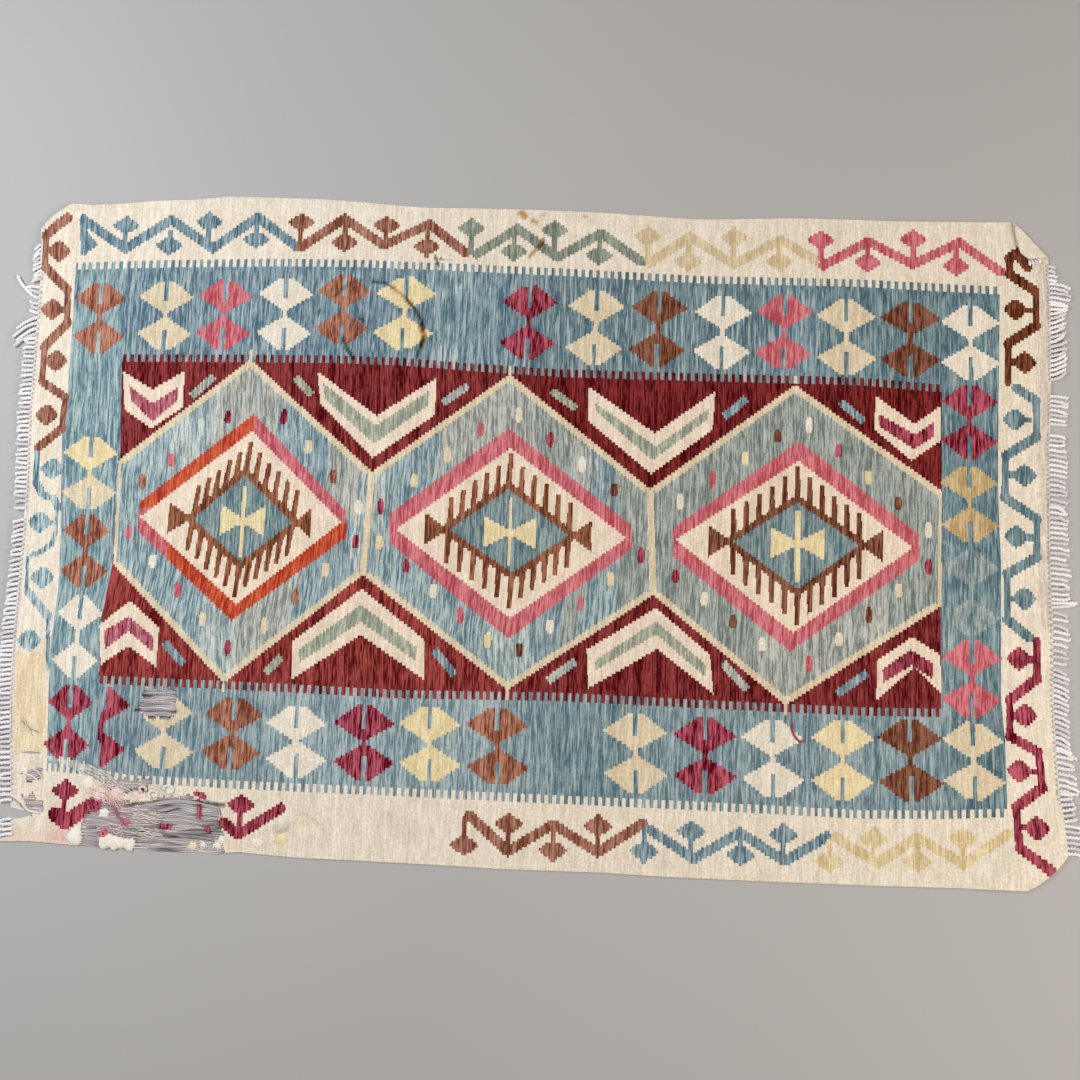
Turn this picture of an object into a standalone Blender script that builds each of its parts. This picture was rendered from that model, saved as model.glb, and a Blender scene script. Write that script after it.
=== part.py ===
"""Flat-woven kilim rug, lying flat: one woven cloth with worn edges, tears and three turned corners,
and the twisted warp ends that stand out of both short ends as a fringe.

Rug plan: X runs along the warps (the long way), Y along the wefts, Z up from the floor.
Plan sizes are in millimetres in the tables below and are turned into metres as the solids are made.
"""

import math
from collections import namedtuple

import bmesh
import bpy
from mathutils import Vector, noise

MM = 0.001
RUG_CENTRE = (-13.3, 4.2)  # middle of the rug with its fringe, in the plan's own millimetres

CLOTH_THICKNESS = 2.2
PIECE_GAP = 0.4  # air left between the cloth and a fringe strip
STRIP_WIDTH = 3.0  # woven end strip that the warp ends leave
EDGE_STEPS = 3  # straight pieces between two rows of an edge table
NEAREST_POINTS = 1.0  # the left edge keeps this clear of the tear's lips
CUT_TOLERANCE = 1e-4

# ---- edges of the cloth, seen from above, where the cloth ends and the fringe begins

Station = namedtuple("Station", "x y")

TOP_EDGE = [
    Station(-740, 480), Station(-697, 478), Station(-620, 488), Station(-542, 493),
    Station(-496, 499), Station(-341, 498), Station(-202, 489), Station(-49, 490),
    Station(73, 488), Station(226, 481), Station(377, 487), Station(527, 486), Station(696, 489),
]
RIGHT_EDGE = [
    Station(747, 429), Station(749, 386), Station(747, 232), Station(744, 157),
    Station(742, -21), Station(744, -108), Station(742, -223), Station(745, -307),
    Station(749, -363), Station(754, -404), Station(757, -440),
]
BOTTOM_EDGE = [
    Station(703, -489), Station(594, -489), Station(496, -490.5), Station(328, -491),
    Station(188, -490), Station(103, -488), Station(-39, -489), Station(-125, -487),
    Station(-239, -485.5), Station(-326, -485), Station(-369, -483), Station(-412, -480.5),
]
LEFT_EDGE = [
    Station(-745, -470), Station(-753, -392), Station(-760, -335), Station(-765, -278),
    Station(-768, -220), Station(-769, -161), Station(-768, -42), Station(-769, 18),
    Station(-774, 109), Station(-776, 155), Station(-777, 264), Station(-778, 367),
    Station(-780, 418), Station(-782, 438),
]
# the side edge under the bare warps: frayed, with lumps of loose wool, then the hem's tail
FRAYED_EDGE = [
    Station(-448, -484), Station(-484, -481), Station(-528, -483), Station(-550, -480.5),
    Station(-561, -483), Station(-571, -488), Station(-590, -485.5), Station(-607, -487),
    Station(-617, -482), Station(-640, -482.5), Station(-649, -479.5), Station(-655, -484.5),
    Station(-666, -477.5), Station(-688, -476), Station(-717, -477), Station(-762, -480),
    Station(-762, -474),
]
# the tear that opens at the left end, from its lower lip round to its upper lip
TEAR = [
    Station(-750.5, -439), Station(-735, -438.5), Station(-722, -443), Station(-712, -445.5),
    Station(-722, -438), Station(-738, -431), Station(-751, -427.5),
]

# ---- slits and holes between bare warps; each runs from start to end, bowed by its arch

Slit = namedtuple("Slit", "x_start y_start x_end y_end arch width")

SLITS = [
    Slit(-576, -422, -443, -414, 4.6, 4.6),
    Slit(-541, -429, -503, -425.5, 0.0, 3.4),
    Slit(-522, -464, -449, -468, 0.0, 3.4),
    Slit(-577, -287, -521, -285, 0.5, 2.6),
    Slit(-723, -379, -702, -383, 1.0, 6.0),
    Slit(-727, -352, -710, -352, 0.0, 3.6),
]
SLIT_STEPS = 8

# ---- turned corners: a fold's ends are on its outermost edge, and a flap point of the unfolded
# corner lies `along` the bend from its start and `beyond` it

Fold = namedtuple("Fold", "start end over flap bow")
FlapPoint = namedtuple("FlapPoint", "along beyond")

BEND_RADIUS = 1.9  # of the cloth's middle surface round a fold
BEND_STEPS = 6
FOLD_SPANS = 5  # straight pieces along a bowed fold
BOW_FADE = 30.0  # the fold's bow dies out this far inside it
RAMP_LENGTH = 34.0  # the cloth climbs over a corner tucked under it in this length
RAMP_STEPS = 4
FLAP_SPRING = 0.03  # rise of a flap that lies on top, for each millimetre away from its fold

TOP_LEFT_FOLD = Fold((-740, 480), (-783, 440), False, [FlapPoint(32, 31)], 3.5)
TOP_RIGHT_FOLD = Fold(
    (745, 435), (696, 489), True,
    [FlapPoint(7, 12.5), FlapPoint(15.5, 29), FlapPoint(41.5, 27.5)], 0.5,
)
BOTTOM_RIGHT_FOLD = Fold((703, -488), (757, -440), False, [FlapPoint(38, 38)], 4.9)
FOLDS = [TOP_LEFT_FOLD, TOP_RIGHT_FOLD, BOTTOM_RIGHT_FOLD]

# ---- fringe: stretches of like strands, from the top down; lean is how far the tips shift in Y

Stretch = namedtuple("Stretch", "y_from y_to pitch length lean")
Strand = namedtuple("Strand", "y length lean")

STRAND_WIDTH = 2.3
STRAND_HEIGHT = 2.0
TIP_SIZE = 1.1
STRAND_RINGS = 3
LEAN_CURVE = 1.5  # a strand leans more and more towards its tip
ROOT_SPACING = 3.7  # roots of neighbours stay at least this far apart
STRAND_SPACING = 2.6  # and their middles this far, measured across them
LENGTH_SPREAD = 0.16
LEAN_SPREAD = 1.6
LEAN_SEED = 3
NOISE_STEP = 0.73
NOISE_ROW = 7.1
NOISE_GAIN = 1.6

LEFT_FRINGE = [
    Stretch(414, 372, 7.5, 11, -9),
    Stretch(366, 360, 8.0, 11, 5),
    Stretch(346, 338, 8.0, 17, 21),
    Stretch(329, 329, 8.0, 36, 33),
    Stretch(320, 306, 7.0, 12, 2),
    Stretch(298, 272, 8.5, 30, -20),
    Stretch(266, 16, 7.2, 16, -1),
    Stretch(5, 2, 9.0, 15, 0),
    Stretch(-12, -130, 7.2, 15, -5),
    Stretch(-130, -330, 7.0, 17, -3),
    Stretch(-330, -420, 7.2, 17, -2),
]
LEFT_CORNER_FRINGE = [Stretch(-447, -468, 6.5, 17, -3)]
RIGHT_FRINGE = [
    Stretch(421, 400, 8.0, 9, -3),
    Stretch(394, 366, 7.0, 28, -5),
    Stretch(362, 247, 7.2, 22, 9),
    Stretch(222, 180, 7.4, 23, -3),
    Stretch(163, 60, 7.4, 22, -4),
    Stretch(56, -78, 7.4, 24, -3),
    Stretch(-84, -90, 9.0, 36, 12),
    Stretch(-98, -170, 9.0, 21, -5),
    Stretch(-172, -290, 7.6, 20, -8),
    Stretch(-294, -350, 7.6, 25, -6),
    Stretch(-354, -392, 7.0, 17, 3),
    Stretch(-398, -436, 7.2, 27, -3),
]
# the few warp ends of the corner that lies folded back on the cloth
FLAP_FRINGE_STRIP = [Station(716, 424.7), Station(735, 429.6)]
FLAP_STRANDS = 4
FLAP_STRAND_LENGTH = 6.5
FLAP_STRAND_LEAN = 0.6
FLAP_SEED = 5
FLAP_FRINGE_LIFT = 1.6  # of the strip over the tips of its strands, which lie on the cloth

Dye = namedtuple("Dye", "colour roughness")
CLOTH_DYE = Dye((0.36, 0.30, 0.27, 1.0), 0.9)
WARP_DYE = Dye((0.72, 0.70, 0.66, 1.0), 0.85)


# ---- small geometry helpers


def smooth_curve(stations, steps=EDGE_STEPS):
    """Points of a curve that passes through every station (Catmull-Rom)."""
    ends = [stations[0], *stations, stations[-1]]
    points = []
    for before, start, end, after in zip(ends, ends[1:], ends[2:], ends[3:]):
        for step in range(steps):
            t = step / steps
            points.append(tuple(
                0.5 * (2 * b + (c - a) * t + (2 * a - 5 * b + 4 * c - d) * t**2
                       + (3 * b - a - 3 * c + d) * t**3)
                for a, b, c, d in zip(before, start, end, after)
            ))
    points.append(tuple(stations[-1]))
    return [Vector(point) for point in points]


def smooth_step(t):
    """0 before t = 0, 1 after t = 1, and a soft S between."""
    t = min(max(t, 0.0), 1.0)
    return t * t * (3 - 2 * t)


def x_on_edge(edge, y):
    """X of an end edge at the height y."""
    for a, b in zip(edge, edge[1:]):
        if min(a.y, b.y) <= y <= max(a.y, b.y):
            return a.x + (b.x - a.x) * (y - a.y) / (b.y - a.y)
    nearest = min(edge, key=lambda point: abs(point.y - y))
    return nearest.x


def metres(points):
    """Plan millimetres, centred on the rug, in metres."""
    centre = Vector((*RUG_CENTRE, 0))
    return [(Vector(point) - centre) * MM for point in points]


def make_object(name, points, faces, dye):
    """One closed, outward-facing body with its own material."""
    mesh = bpy.data.meshes.new(name)
    mesh.from_pydata(metres(points), [], faces)
    work = bmesh.new()
    work.from_mesh(mesh)
    bmesh.ops.recalc_face_normals(work, faces=work.faces)
    work.to_mesh(mesh)
    work.free()
    mesh.update()
    material = bpy.data.materials.new(name + "_yarn")
    material.use_nodes = True
    shader = material.node_tree.nodes["Principled BSDF"]
    shader.inputs["Base Color"].default_value = dye.colour
    shader.inputs["Roughness"].default_value = dye.roughness
    shader.inputs["Metallic"].default_value = 0.0
    material.diffuse_color = dye.colour
    mesh.materials.append(material)
    body = bpy.data.objects.new(name, mesh)
    bpy.context.collection.objects.link(body)
    return body


# ---- cloth


def fold_axes(fold):
    """Start of a fold's bend, its direction, and the way out over its corner."""
    edge = Vector(fold.start)
    along = (Vector(fold.end) - edge).normalized()
    outward = Vector((along.y, -along.x))
    if outward.dot(edge) < 0:
        outward = -outward
    return edge - outward * (BEND_RADIUS + CLOTH_THICKNESS / 2), along, outward


def flap_outline(fold):
    """Plan points of an unfolded corner, in the order of the fold's start to its end."""
    start, along, outward = fold_axes(fold)
    return [start + along * p.along + outward * p.beyond for p in fold.flap]


def inset_end(edge, y_from, y_to, side):
    """An end edge drawn in by the strip's width from y_from to y_to, with a square step at each end."""
    depth = STRIP_WIDTH + PIECE_GAP
    top = y_from + PIECE_GAP
    bottom = y_to - PIECE_GAP
    inner = [Vector((p.x - side * depth, p.y)) for p in edge if bottom < p.y < top]
    edge_top = Vector((x_on_edge(edge, top), top))
    edge_bottom = Vector((x_on_edge(edge, bottom), bottom))
    step = Vector((side * depth, 0))
    first, last = (edge_top, edge_bottom) if edge[0].y > edge[-1].y else (edge_bottom, edge_top)
    before = [p for p in edge if (p.y > top if first is edge_top else p.y < bottom)]
    after = [p for p in edge if (p.y < bottom if first is edge_top else p.y > top)]
    return [*before, first, first - step, *inner, last - step, last, *after]


def cloth_outline():
    """The unfolded cloth's outline, clockwise from the top left corner's fold."""
    left = smooth_curve(LEFT_EDGE)
    torn = [p for p in left if p.y < TEAR[0].y - NEAREST_POINTS]
    whole = [p for p in left if p.y > TEAR[-1].y + NEAREST_POINTS]
    return [
        *smooth_curve(TOP_EDGE),
        *reversed(flap_outline(TOP_RIGHT_FOLD)),
        *inset_end(smooth_curve(RIGHT_EDGE), *strip_span(RIGHT_FRINGE), 1),
        *reversed(flap_outline(BOTTOM_RIGHT_FOLD)),
        *smooth_curve(BOTTOM_EDGE)[:-1],
        *[Vector(p) for p in FRAYED_EDGE],
        *inset_end(torn, *strip_span(LEFT_CORNER_FRINGE), -1),
        *[Vector(p) for p in TEAR],
        *inset_end(whole, *strip_span(LEFT_FRINGE), -1),
        *reversed(flap_outline(TOP_LEFT_FOLD)),
    ]


def slit_outline(slit):
    """A lens between two points, bowed by its arch."""
    start = Vector((slit.x_start, slit.y_start))
    end = Vector((slit.x_end, slit.y_end))
    across = (end - start).orthogonal().normalized()
    if across.y < 0:
        across = -across
    lips = []
    for lip in (1, -1):
        steps = range(SLIT_STEPS) if lip == 1 else range(SLIT_STEPS, 0, -1)
        for step in steps:
            t = step / SLIT_STEPS
            bulge = 4 * t * (1 - t)
            lips.append(start.lerp(end, t) + across * bulge * (slit.arch + lip * slit.width / 2))
    return lips


def fold_length(fold):
    return (Vector(fold.end) - Vector(fold.start)).length


def fold_cuts(fold):
    """Distances from the fold line at which the cloth is cut so that it can bend there."""
    depth = max(p.beyond for p in fold.flap)
    bend = [math.pi * BEND_RADIUS * step / BEND_STEPS for step in range(BEND_STEPS + 1)]
    if fold.over:
        return [-BOW_FADE, -BOW_FADE / 2, *bend]
    ramp = [-depth - RAMP_LENGTH * step / RAMP_STEPS for step in range(RAMP_STEPS, -1, -1)]
    return [*ramp, -BOW_FADE / 2, *bend]


def bend_point(fold, distance):
    """(out, height, tilt) of the cloth's middle surface at a distance past the fold line."""
    middle = CLOTH_THICKNESS / 2
    lift = 2 * BEND_RADIUS
    turn = math.pi * BEND_RADIUS
    depth = max(p.beyond for p in fold.flap)
    angle = min(max(distance / BEND_RADIUS, 0.0), math.pi)
    out = min(distance, 0.0) + BEND_RADIUS * math.sin(angle) - max(distance - turn, 0.0)
    swing = BEND_RADIUS * (1 - math.cos(angle))
    if fold.over:
        spring = max(distance - turn, 0.0) * FLAP_SPRING
        return out, middle + swing + spring, angle
    climb = smooth_step((distance + depth + RAMP_LENGTH) / RAMP_LENGTH)
    return out, middle + lift * climb - swing, -angle


def folded(point, layer):
    """Where a plan point of the flat cloth goes; layer is 1 on its face and -1 on its back."""
    for fold in FOLDS:
        start, along, outward = fold_axes(fold)
        distance = (point - start).dot(outward)
        reach = (point - start).dot(along)
        length = fold_length(fold)
        if distance < fold_cuts(fold)[0] or not -length < reach < 2 * length:
            continue
        out, height, tilt = bend_point(fold, distance)
        bow = fold.bow * max(1 - (2 * reach / length - 1) ** 2, 0.0)
        bow *= smooth_step(1 + min(distance, 0.0) / BOW_FADE)
        half = layer * CLOTH_THICKNESS / 2
        out += bow - half * math.sin(tilt)
        height += half * math.cos(tilt)
        plan = start + along * reach + outward * out
        return (plan.x, plan.y, height)
    return (point.x, point.y, (1 + layer) * CLOTH_THICKNESS / 2)


def cut_near_fold(plan, fold, point, normal):
    """Cut the plan's faces round a fold along the line through a point, square to the normal."""
    start, along, outward = fold_axes(fold)
    length = fold_length(fold)
    near = [
        face for face in plan.faces
        if any(-length < (v.co.xy - start).dot(along) < 2 * length
               and (v.co.xy - start).dot(outward) > fold_cuts(fold)[0] - 1.0 for v in face.verts)
    ]
    parts = {e for face in near for e in face.edges} | {v for face in near for v in face.verts}
    bmesh.ops.bisect_plane(
        plan, geom=[*near, *parts], dist=CUT_TOLERANCE,
        plane_co=(*point, 0), plane_no=(*normal, 0),
    )


def flat_cloth():
    """The unfolded cloth in plan, filled round its slits and cut along its bends."""
    plan = bmesh.new()
    for outline in (cloth_outline(), *[slit_outline(slit) for slit in SLITS]):
        ring = [plan.verts.new((*point, 0)) for point in outline]
        for a, b in zip(ring, [*ring[1:], ring[0]]):
            plan.edges.new((a, b))
    bmesh.ops.triangle_fill(plan, edges=plan.edges[:], use_beauty=True)
    for fold in FOLDS:
        start, along, outward = fold_axes(fold)
        for distance in fold_cuts(fold):
            cut_near_fold(plan, fold, start + outward * distance, outward)
        for span in range(FOLD_SPANS + 1):
            cut_near_fold(plan, fold, start + along * fold_length(fold) * span / FOLD_SPANS, along)
    bmesh.ops.triangulate(plan, faces=plan.faces[:])
    plan.verts.index_update()
    return plan


def make_cloth():
    """The woven cloth: face and back of the plan, joined all round by its edges."""
    plan = flat_cloth()
    count = len(plan.verts)
    plan_points = [v.co.xy.copy() for v in plan.verts]
    points = [folded(p, 1) for p in plan_points] + [folded(p, -1) for p in plan_points]
    faces = []
    for face in plan.faces:
        corners = [v.index for v in face.verts]
        faces.append(corners)
        faces.append([i + count for i in reversed(corners)])
        for loop in face.loops:
            if loop.edge.is_boundary:
                a, b = loop.vert.index, loop.link_loop_next.vert.index
                faces.append([b, a, a + count, b + count])
    plan.free()
    return make_object("cloth", points, faces, CLOTH_DYE)


# ---- fringe


def strip_span(stretches):
    """Top and bottom of the strip that a fringe grows from."""
    return stretches[0].y_from + STRAND_WIDTH, stretches[-1].y_to - STRAND_WIDTH


def spread(index, seed):
    """An even, repeatable unevenness, mostly between -1 and 1."""
    return noise.noise(Vector((index * NOISE_STEP, seed * NOISE_ROW, NOISE_ROW))) * NOISE_GAIN


def y_along(strand, x):
    """Y of a strand's middle at a distance out from its root."""
    return strand.y + strand.lean * (x / strand.length) ** LEAN_CURVE


def kept_clear(strand, above):
    """The strand, leaned away where it would touch the one above it."""
    x = min(strand.length, above.length)
    slope = LEAN_CURVE * max(abs(s.lean) / s.length for s in (strand, above))
    highest = y_along(above, x) - STRAND_SPACING * math.hypot(1, slope)
    most_lean = (highest - strand.y) / (x / strand.length) ** LEAN_CURVE
    return strand._replace(lean=min(strand.lean, most_lean))


def fringe_strands(stretches, seed):
    """Every strand of a fringe, from the top down, each clear of its neighbour."""
    strands = []
    for stretch in stretches:
        span = stretch.y_from - stretch.y_to
        gaps = max(round(span / stretch.pitch), 1)
        for step in range(gaps + 1):
            index = len(strands)
            y = stretch.y_from - span * step / gaps
            if strands and strands[-1].y - y < ROOT_SPACING:
                continue
            length = stretch.length * (1 + LENGTH_SPREAD * spread(index, seed))
            lean = stretch.lean + LEAN_SPREAD * spread(index, seed + LEAN_SEED)
            strand = Strand(y, length, lean)
            strands.append(kept_clear(strand, strands[-1]) if strands else strand)
    return strands


def grow_strip(sections, grow_strand):
    """Points and faces of a strip through its sections (inner low, inner high, outer high, outer low).

    Every second stretch of its outer side is the root of a strand.
    """
    points = [corner for section in sections for corner in section]
    last = len(points) - 1
    faces = [[0, 1, 2, 3], [last, last - 1, last - 2, last - 3]]
    for row in range(len(sections) - 1):
        a, b = 4 * row, 4 * (row + 1)
        faces += [[a, b, b + 1, a + 1], [a + 1, b + 1, b + 2, a + 2], [a + 3, b + 3, b, a]]
        root = (a + 2, b + 2, b + 3, a + 3)
        if row % 2:
            faces += grow_strand(points, root, row // 2)
        else:
            faces.append(list(root))
    return points, faces


def sleeve(ring, new):
    """The four sides between two rings of a strand."""
    return [[ring[i], ring[(i + 1) % 4], new[(i + 1) % 4], new[i]] for i in range(4)]


def grow_floor_strand(points, root, strand, x, side):
    """Faces of a four-sided strand that lies on the floor, leans and tapers to its tip."""
    faces = []
    ring = root
    for step in range(1, STRAND_RINGS + 1):
        t = step / STRAND_RINGS
        half = (STRAND_WIDTH + (TIP_SIZE - STRAND_WIDTH) * t**2) / 2
        height = STRAND_HEIGHT + (TIP_SIZE - STRAND_HEIGHT) * t**2
        middle = Vector((x + side * strand.length * t, y_along(strand, strand.length * t)))
        slope = LEAN_CURVE * strand.lean * t ** (LEAN_CURVE - 1)
        heading = Vector((side * strand.length, slope)).normalized()
        across = side * half * Vector((-heading.y, heading.x))
        upper, lower = middle + across, middle - across
        first = len(points)
        points += [(*upper, height), (*lower, height), (*lower, 0), (*upper, 0)]
        new = (first, first + 1, first + 2, first + 3)
        faces += sleeve(ring, new)
        ring = new
    faces.append(list(ring))
    return faces


def make_fringe(name, edge, side, stretches, seed):
    """A woven end strip with its warp ends drawn out of it, all resting on the floor."""
    top, bottom = strip_span(stretches)
    curve = smooth_curve(edge)
    strands = fringe_strands(stretches, seed)
    half = STRAND_WIDTH / 2
    levels = [top, *[y for strand in strands for y in (strand.y + half, strand.y - half)], bottom]

    sections = []
    for y in levels:
        x = x_on_edge(curve, y)
        inner = x - side * STRIP_WIDTH
        sections.append([
            (inner, y, 0), (inner, y, CLOTH_THICKNESS), (x, y, CLOTH_THICKNESS), (x, y, 0),
        ])

    def grow_strand(points, root, index):
        strand = strands[index]
        return grow_floor_strand(points, root, strand, x_on_edge(curve, strand.y), side)

    return make_object(name, *grow_strip(sections, grow_strand), WARP_DYE)


def make_flap_fringe():
    """The short warp ends of the folded corner: a strip beside the flap, its ends down on the cloth."""
    start, end = [Vector(p) for p in FLAP_FRINGE_STRIP]
    length = (end - start).length
    along = (end - start).normalized()
    out = Vector((along.y, -along.x))
    cloth_top = CLOTH_THICKNESS + PIECE_GAP
    low = cloth_top + FLAP_FRINGE_LIFT
    high = low + STRAND_HEIGHT
    middles = [length * (strand + 0.5) / FLAP_STRANDS for strand in range(FLAP_STRANDS)]
    half = STRAND_WIDTH / 2
    marks = [0.0, *[mark for middle in middles for mark in (middle - half, middle + half)], length]

    sections = []
    for mark in marks:
        outer = start + along * mark
        inner = outer - out * STRIP_WIDTH
        sections.append([(*inner, low), (*inner, high), (*outer, high), (*outer, low)])

    def grow_strand(points, root, index):
        reach = out * FLAP_STRAND_LENGTH * (1 + LENGTH_SPREAD * spread(index, FLAP_SEED))
        reach -= along * index * FLAP_STRAND_LEAN
        first = len(points)
        for corner, height in zip(root, (TIP_SIZE, TIP_SIZE, 0, 0)):
            x, y, _ = points[corner]
            points.append((x + reach.x, y + reach.y, cloth_top + height))
        tip = tuple(range(first, first + 4))
        return [*sleeve(root, tip), list(tip)]

    return make_object("fringe_flap", *grow_strip(sections, grow_strand), WARP_DYE)


def clear_scene():
    for item in list(bpy.data.objects):
        bpy.data.objects.remove(item)


def main():
    clear_scene()
    make_cloth()
    make_fringe("fringe_left", LEFT_EDGE, -1, LEFT_FRINGE, 1)
    make_fringe("fringe_left_corner", LEFT_EDGE, -1, LEFT_CORNER_FRINGE, 2)
    make_fringe("fringe_right", RIGHT_EDGE, 1, RIGHT_FRINGE, 3)
    make_flap_fringe()


main()
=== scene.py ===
"""Looks of the kilim rug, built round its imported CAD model.

The cloth is made as it is woven. A weaver's chart gives each pair of warps its runs of dyed weft, and
every run is a face of one closed sheet. Plan sizes are millimetres on the laid rug: X runs along the
warps, Y along the wefts. Woven sizes (u, v) are the same directions counted in the weave itself.
"""

import math
from collections import namedtuple

import bmesh
import bpy
import numpy as np
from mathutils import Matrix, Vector, noise


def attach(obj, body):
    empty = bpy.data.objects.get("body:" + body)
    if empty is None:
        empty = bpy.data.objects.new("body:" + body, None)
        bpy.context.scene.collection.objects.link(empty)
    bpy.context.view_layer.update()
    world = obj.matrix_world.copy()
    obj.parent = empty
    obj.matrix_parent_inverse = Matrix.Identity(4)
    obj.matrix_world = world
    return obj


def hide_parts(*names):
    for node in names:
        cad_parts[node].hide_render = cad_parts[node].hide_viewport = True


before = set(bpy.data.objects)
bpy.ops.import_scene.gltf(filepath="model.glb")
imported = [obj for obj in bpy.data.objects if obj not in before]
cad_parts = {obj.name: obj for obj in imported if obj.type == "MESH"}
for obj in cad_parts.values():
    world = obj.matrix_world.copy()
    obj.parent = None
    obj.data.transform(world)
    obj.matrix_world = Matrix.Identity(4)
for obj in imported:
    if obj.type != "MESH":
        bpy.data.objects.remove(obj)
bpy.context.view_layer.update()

MM = 0.001
RUG_CENTRE = (-13.3, 4.2)  # middle of the rug with its fringe, in the plan's own millimetres

# ---- camera, from the perspective of the four woven corners

CAMERA_PLACE = (0.0617, -0.2326, 1.6772)
CAMERA_TURN = (0.1265, 0.0240, 0.0364)
CAMERA_LENS = 38.33
CAMERA_SENSOR = 36.0

# ---- dyes: the deep and the pale end of each yarn, as screen colours from 0 to 255

Dye = namedtuple("Dye", "deep pale flecks")  # flecks: how much undyed wool shows in short dashes

DYES = {
    "cream": Dye((229, 217, 197), (247, 238, 223), 0.0),
    # painted shade: a duller cream where the light falls off along the right border
    "painted_shade_cream": Dye((208, 196, 182), (238, 228, 214), 0.0),
    "straw": Dye((224, 204, 168), (246, 230, 200), 0.0),
    "selvedge": Dye((216, 207, 202), (242, 234, 230), 0.0),
    "faded": Dye((170, 174, 168), (230, 228, 220), 0.3),
    "blue": Dye((78, 107, 124), (148, 172, 182), 0.5),
    "light_blue": Dye((94, 125, 138), (166, 190, 192), 0.55),
    "deep_blue": Dye((72, 101, 115), (132, 158, 164), 0.35),
    "streaky_blue": Dye((88, 117, 129), (160, 183, 186), 0.9),
    "teal_blue": Dye((76, 102, 115), (137, 159, 165), 0.5),
    "low_blue": Dye((95, 121, 134), (166, 185, 188), 0.45),
    "low_pale": Dye((106, 133, 145), (182, 198, 201), 0.5),
    "low_teal": Dye((81, 109, 122), (145, 168, 173), 0.45),
    "low_right": Dye((90, 117, 130), (159, 179, 183), 0.4),
    "core_blue": Dye((83, 110, 119), (149, 169, 170), 0.3),
    "sky": Dye((92, 122, 136), (182, 200, 201), 0.6),
    "pale_sky": Dye((116, 142, 151), (212, 220, 213), 0.6),
    "mist": Dye((126, 134, 132), (206, 207, 197), 0.5),
    "slate": Dye((110, 123, 122), (182, 189, 182), 0.4),
    "ghost": Dye((104, 126, 132), (180, 190, 187), 0.4),
    "red": Dye((78, 2, 8), (153, 66, 66), 0.0),
    "pale_red": Dye((92, 12, 14), (172, 80, 76), 0.0),
    "deep_red": Dye((70, 0, 4), (142, 52, 52), 0.0),
    "crimson": Dye((92, 0, 20), (200, 98, 118), 0.0),
    "raspberry": Dye((136, 34, 62), (206, 132, 146), 0.0),
    "pink": Dye((178, 74, 86), (226, 140, 148), 0.0),
    "orange": Dye((166, 50, 30), (222, 106, 76), 0.0),
    "brown": Dye((86, 38, 22), (152, 104, 82), 0.0),
    "chestnut": Dye((98, 50, 28), (172, 116, 88), 0.0),
    "rust": Dye((116, 60, 40), (196, 140, 116), 0.0),
    "terracotta": Dye((116, 64, 46), (188, 138, 120), 0.0),
    "dark": Dye((66, 20, 4), (140, 84, 58), 0.0),
    "tan": Dye((214, 197, 166), (238, 224, 197), 0.0),
    "ivory": Dye((227, 217, 199), (247, 240, 226), 0.0),
    "rosy_ivory": Dye((229, 211, 189), (250, 234, 215), 0.0),
    "yellow": Dye((224, 206, 160), (247, 232, 188), 0.0),
    "gold": Dye((176, 148, 102), (218, 196, 152), 0.0),
    "sage": Dye((134, 144, 128), (196, 198, 180), 0.0),
    "sage_vine": Dye((110, 122, 112), (170, 174, 160), 0.0),
    "beige": Dye((204, 182, 144), (231, 216, 184), 0.0),
    "pale_gold": Dye((205, 183, 137), (241, 226, 188), 0.0),
    "pale_blue": Dye((66, 106, 130), (200, 219, 217), 0.4),
    "fleece": Dye((226, 218, 204), (250, 246, 236), 0.0),
    "blush": Dye((220, 172, 176), (248, 224, 224), 0.0),
}
NAMES = list(DYES)
NONE = -1  # no weft: the warps lie bare
UNDYED = (208, 219, 216)

# ---- the weave's guides on the laid rug, each followed by one woven line

TOP_EDGE = [
    (-783, 479), (-740, 480), (-697, 478), (-620, 488),
    (-542, 493), (-496, 499), (-341, 498), (-202, 489),
    (-49, 490), (73, 488), (226, 481), (377, 487),
    (527, 486), (696, 489), (735, 482), (746, 474),
]
TOP_COMB = [
    (-722, 380), (-565, 388), (-412, 394), (-289, 396),
    (-167, 395), (16, 391), (227, 385), (467, 386), (675, 380),
]
TOP_FIELD = [
    (-638, 238), (-455, 243), (-326, 246), (-220, 245),
    (-99, 239), (21, 234), (230, 234), (467, 235), (585, 228),
]
BOTTOM_FIELD = [
    (-628, -243), (-458, -244), (-370, -245), (-194, -248),
    (38, -243), (239, -246), (468, -248), (582, -246),
]
BOTTOM_COMB = [
    (-698, -372), (-653, -374), (-579, -385), (-419, -387),
    (-187, -388), (43, -390), (242, -391), (468, -394),
    (581, -390), (665, -384),
]
BOTTOM_EDGE = [
    (-762, -479), (-717, -477), (-655, -480), (-571, -483),
    (-448, -483), (-412, -480.5), (-369, -483), (-326, -485),
    (-239, -485.5), (-125, -487), (-39, -489), (103, -488),
    (188, -490), (328, -491), (496, -490.5), (594, -489),
    (703, -489), (757, -489),
]
LEFT_EDGE = [
    (-762, -479), (-762, -474), (-745, -470), (-753, -392),
    (-760, -335), (-765, -278), (-768, -220), (-769, -161),
    (-768, -42), (-769, 18), (-774, 109), (-776, 155),
    (-777, 264), (-778, 367), (-780, 418), (-782, 438),
    (-783, 479),
]
LEFT_BLUE = [
    (-701, -368), (-708, -261), (-711, -189), (-707, -115),
    (-708, -85), (-710, -40), (-723, 126), (-719, 180),
    (-720, 219), (-721, 281), (-724, 376),
]
LEFT_FIELD = [
    (-636, -227), (-640, -157), (-636, -127), (-630, -76),
    (-630, -8), (-633, 53), (-631, 78), (-636, 160), (-641, 237),
]
RIGHT_FIELD = [(583, -251), (583, -85), (586, 77), (587, 233)]
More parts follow.
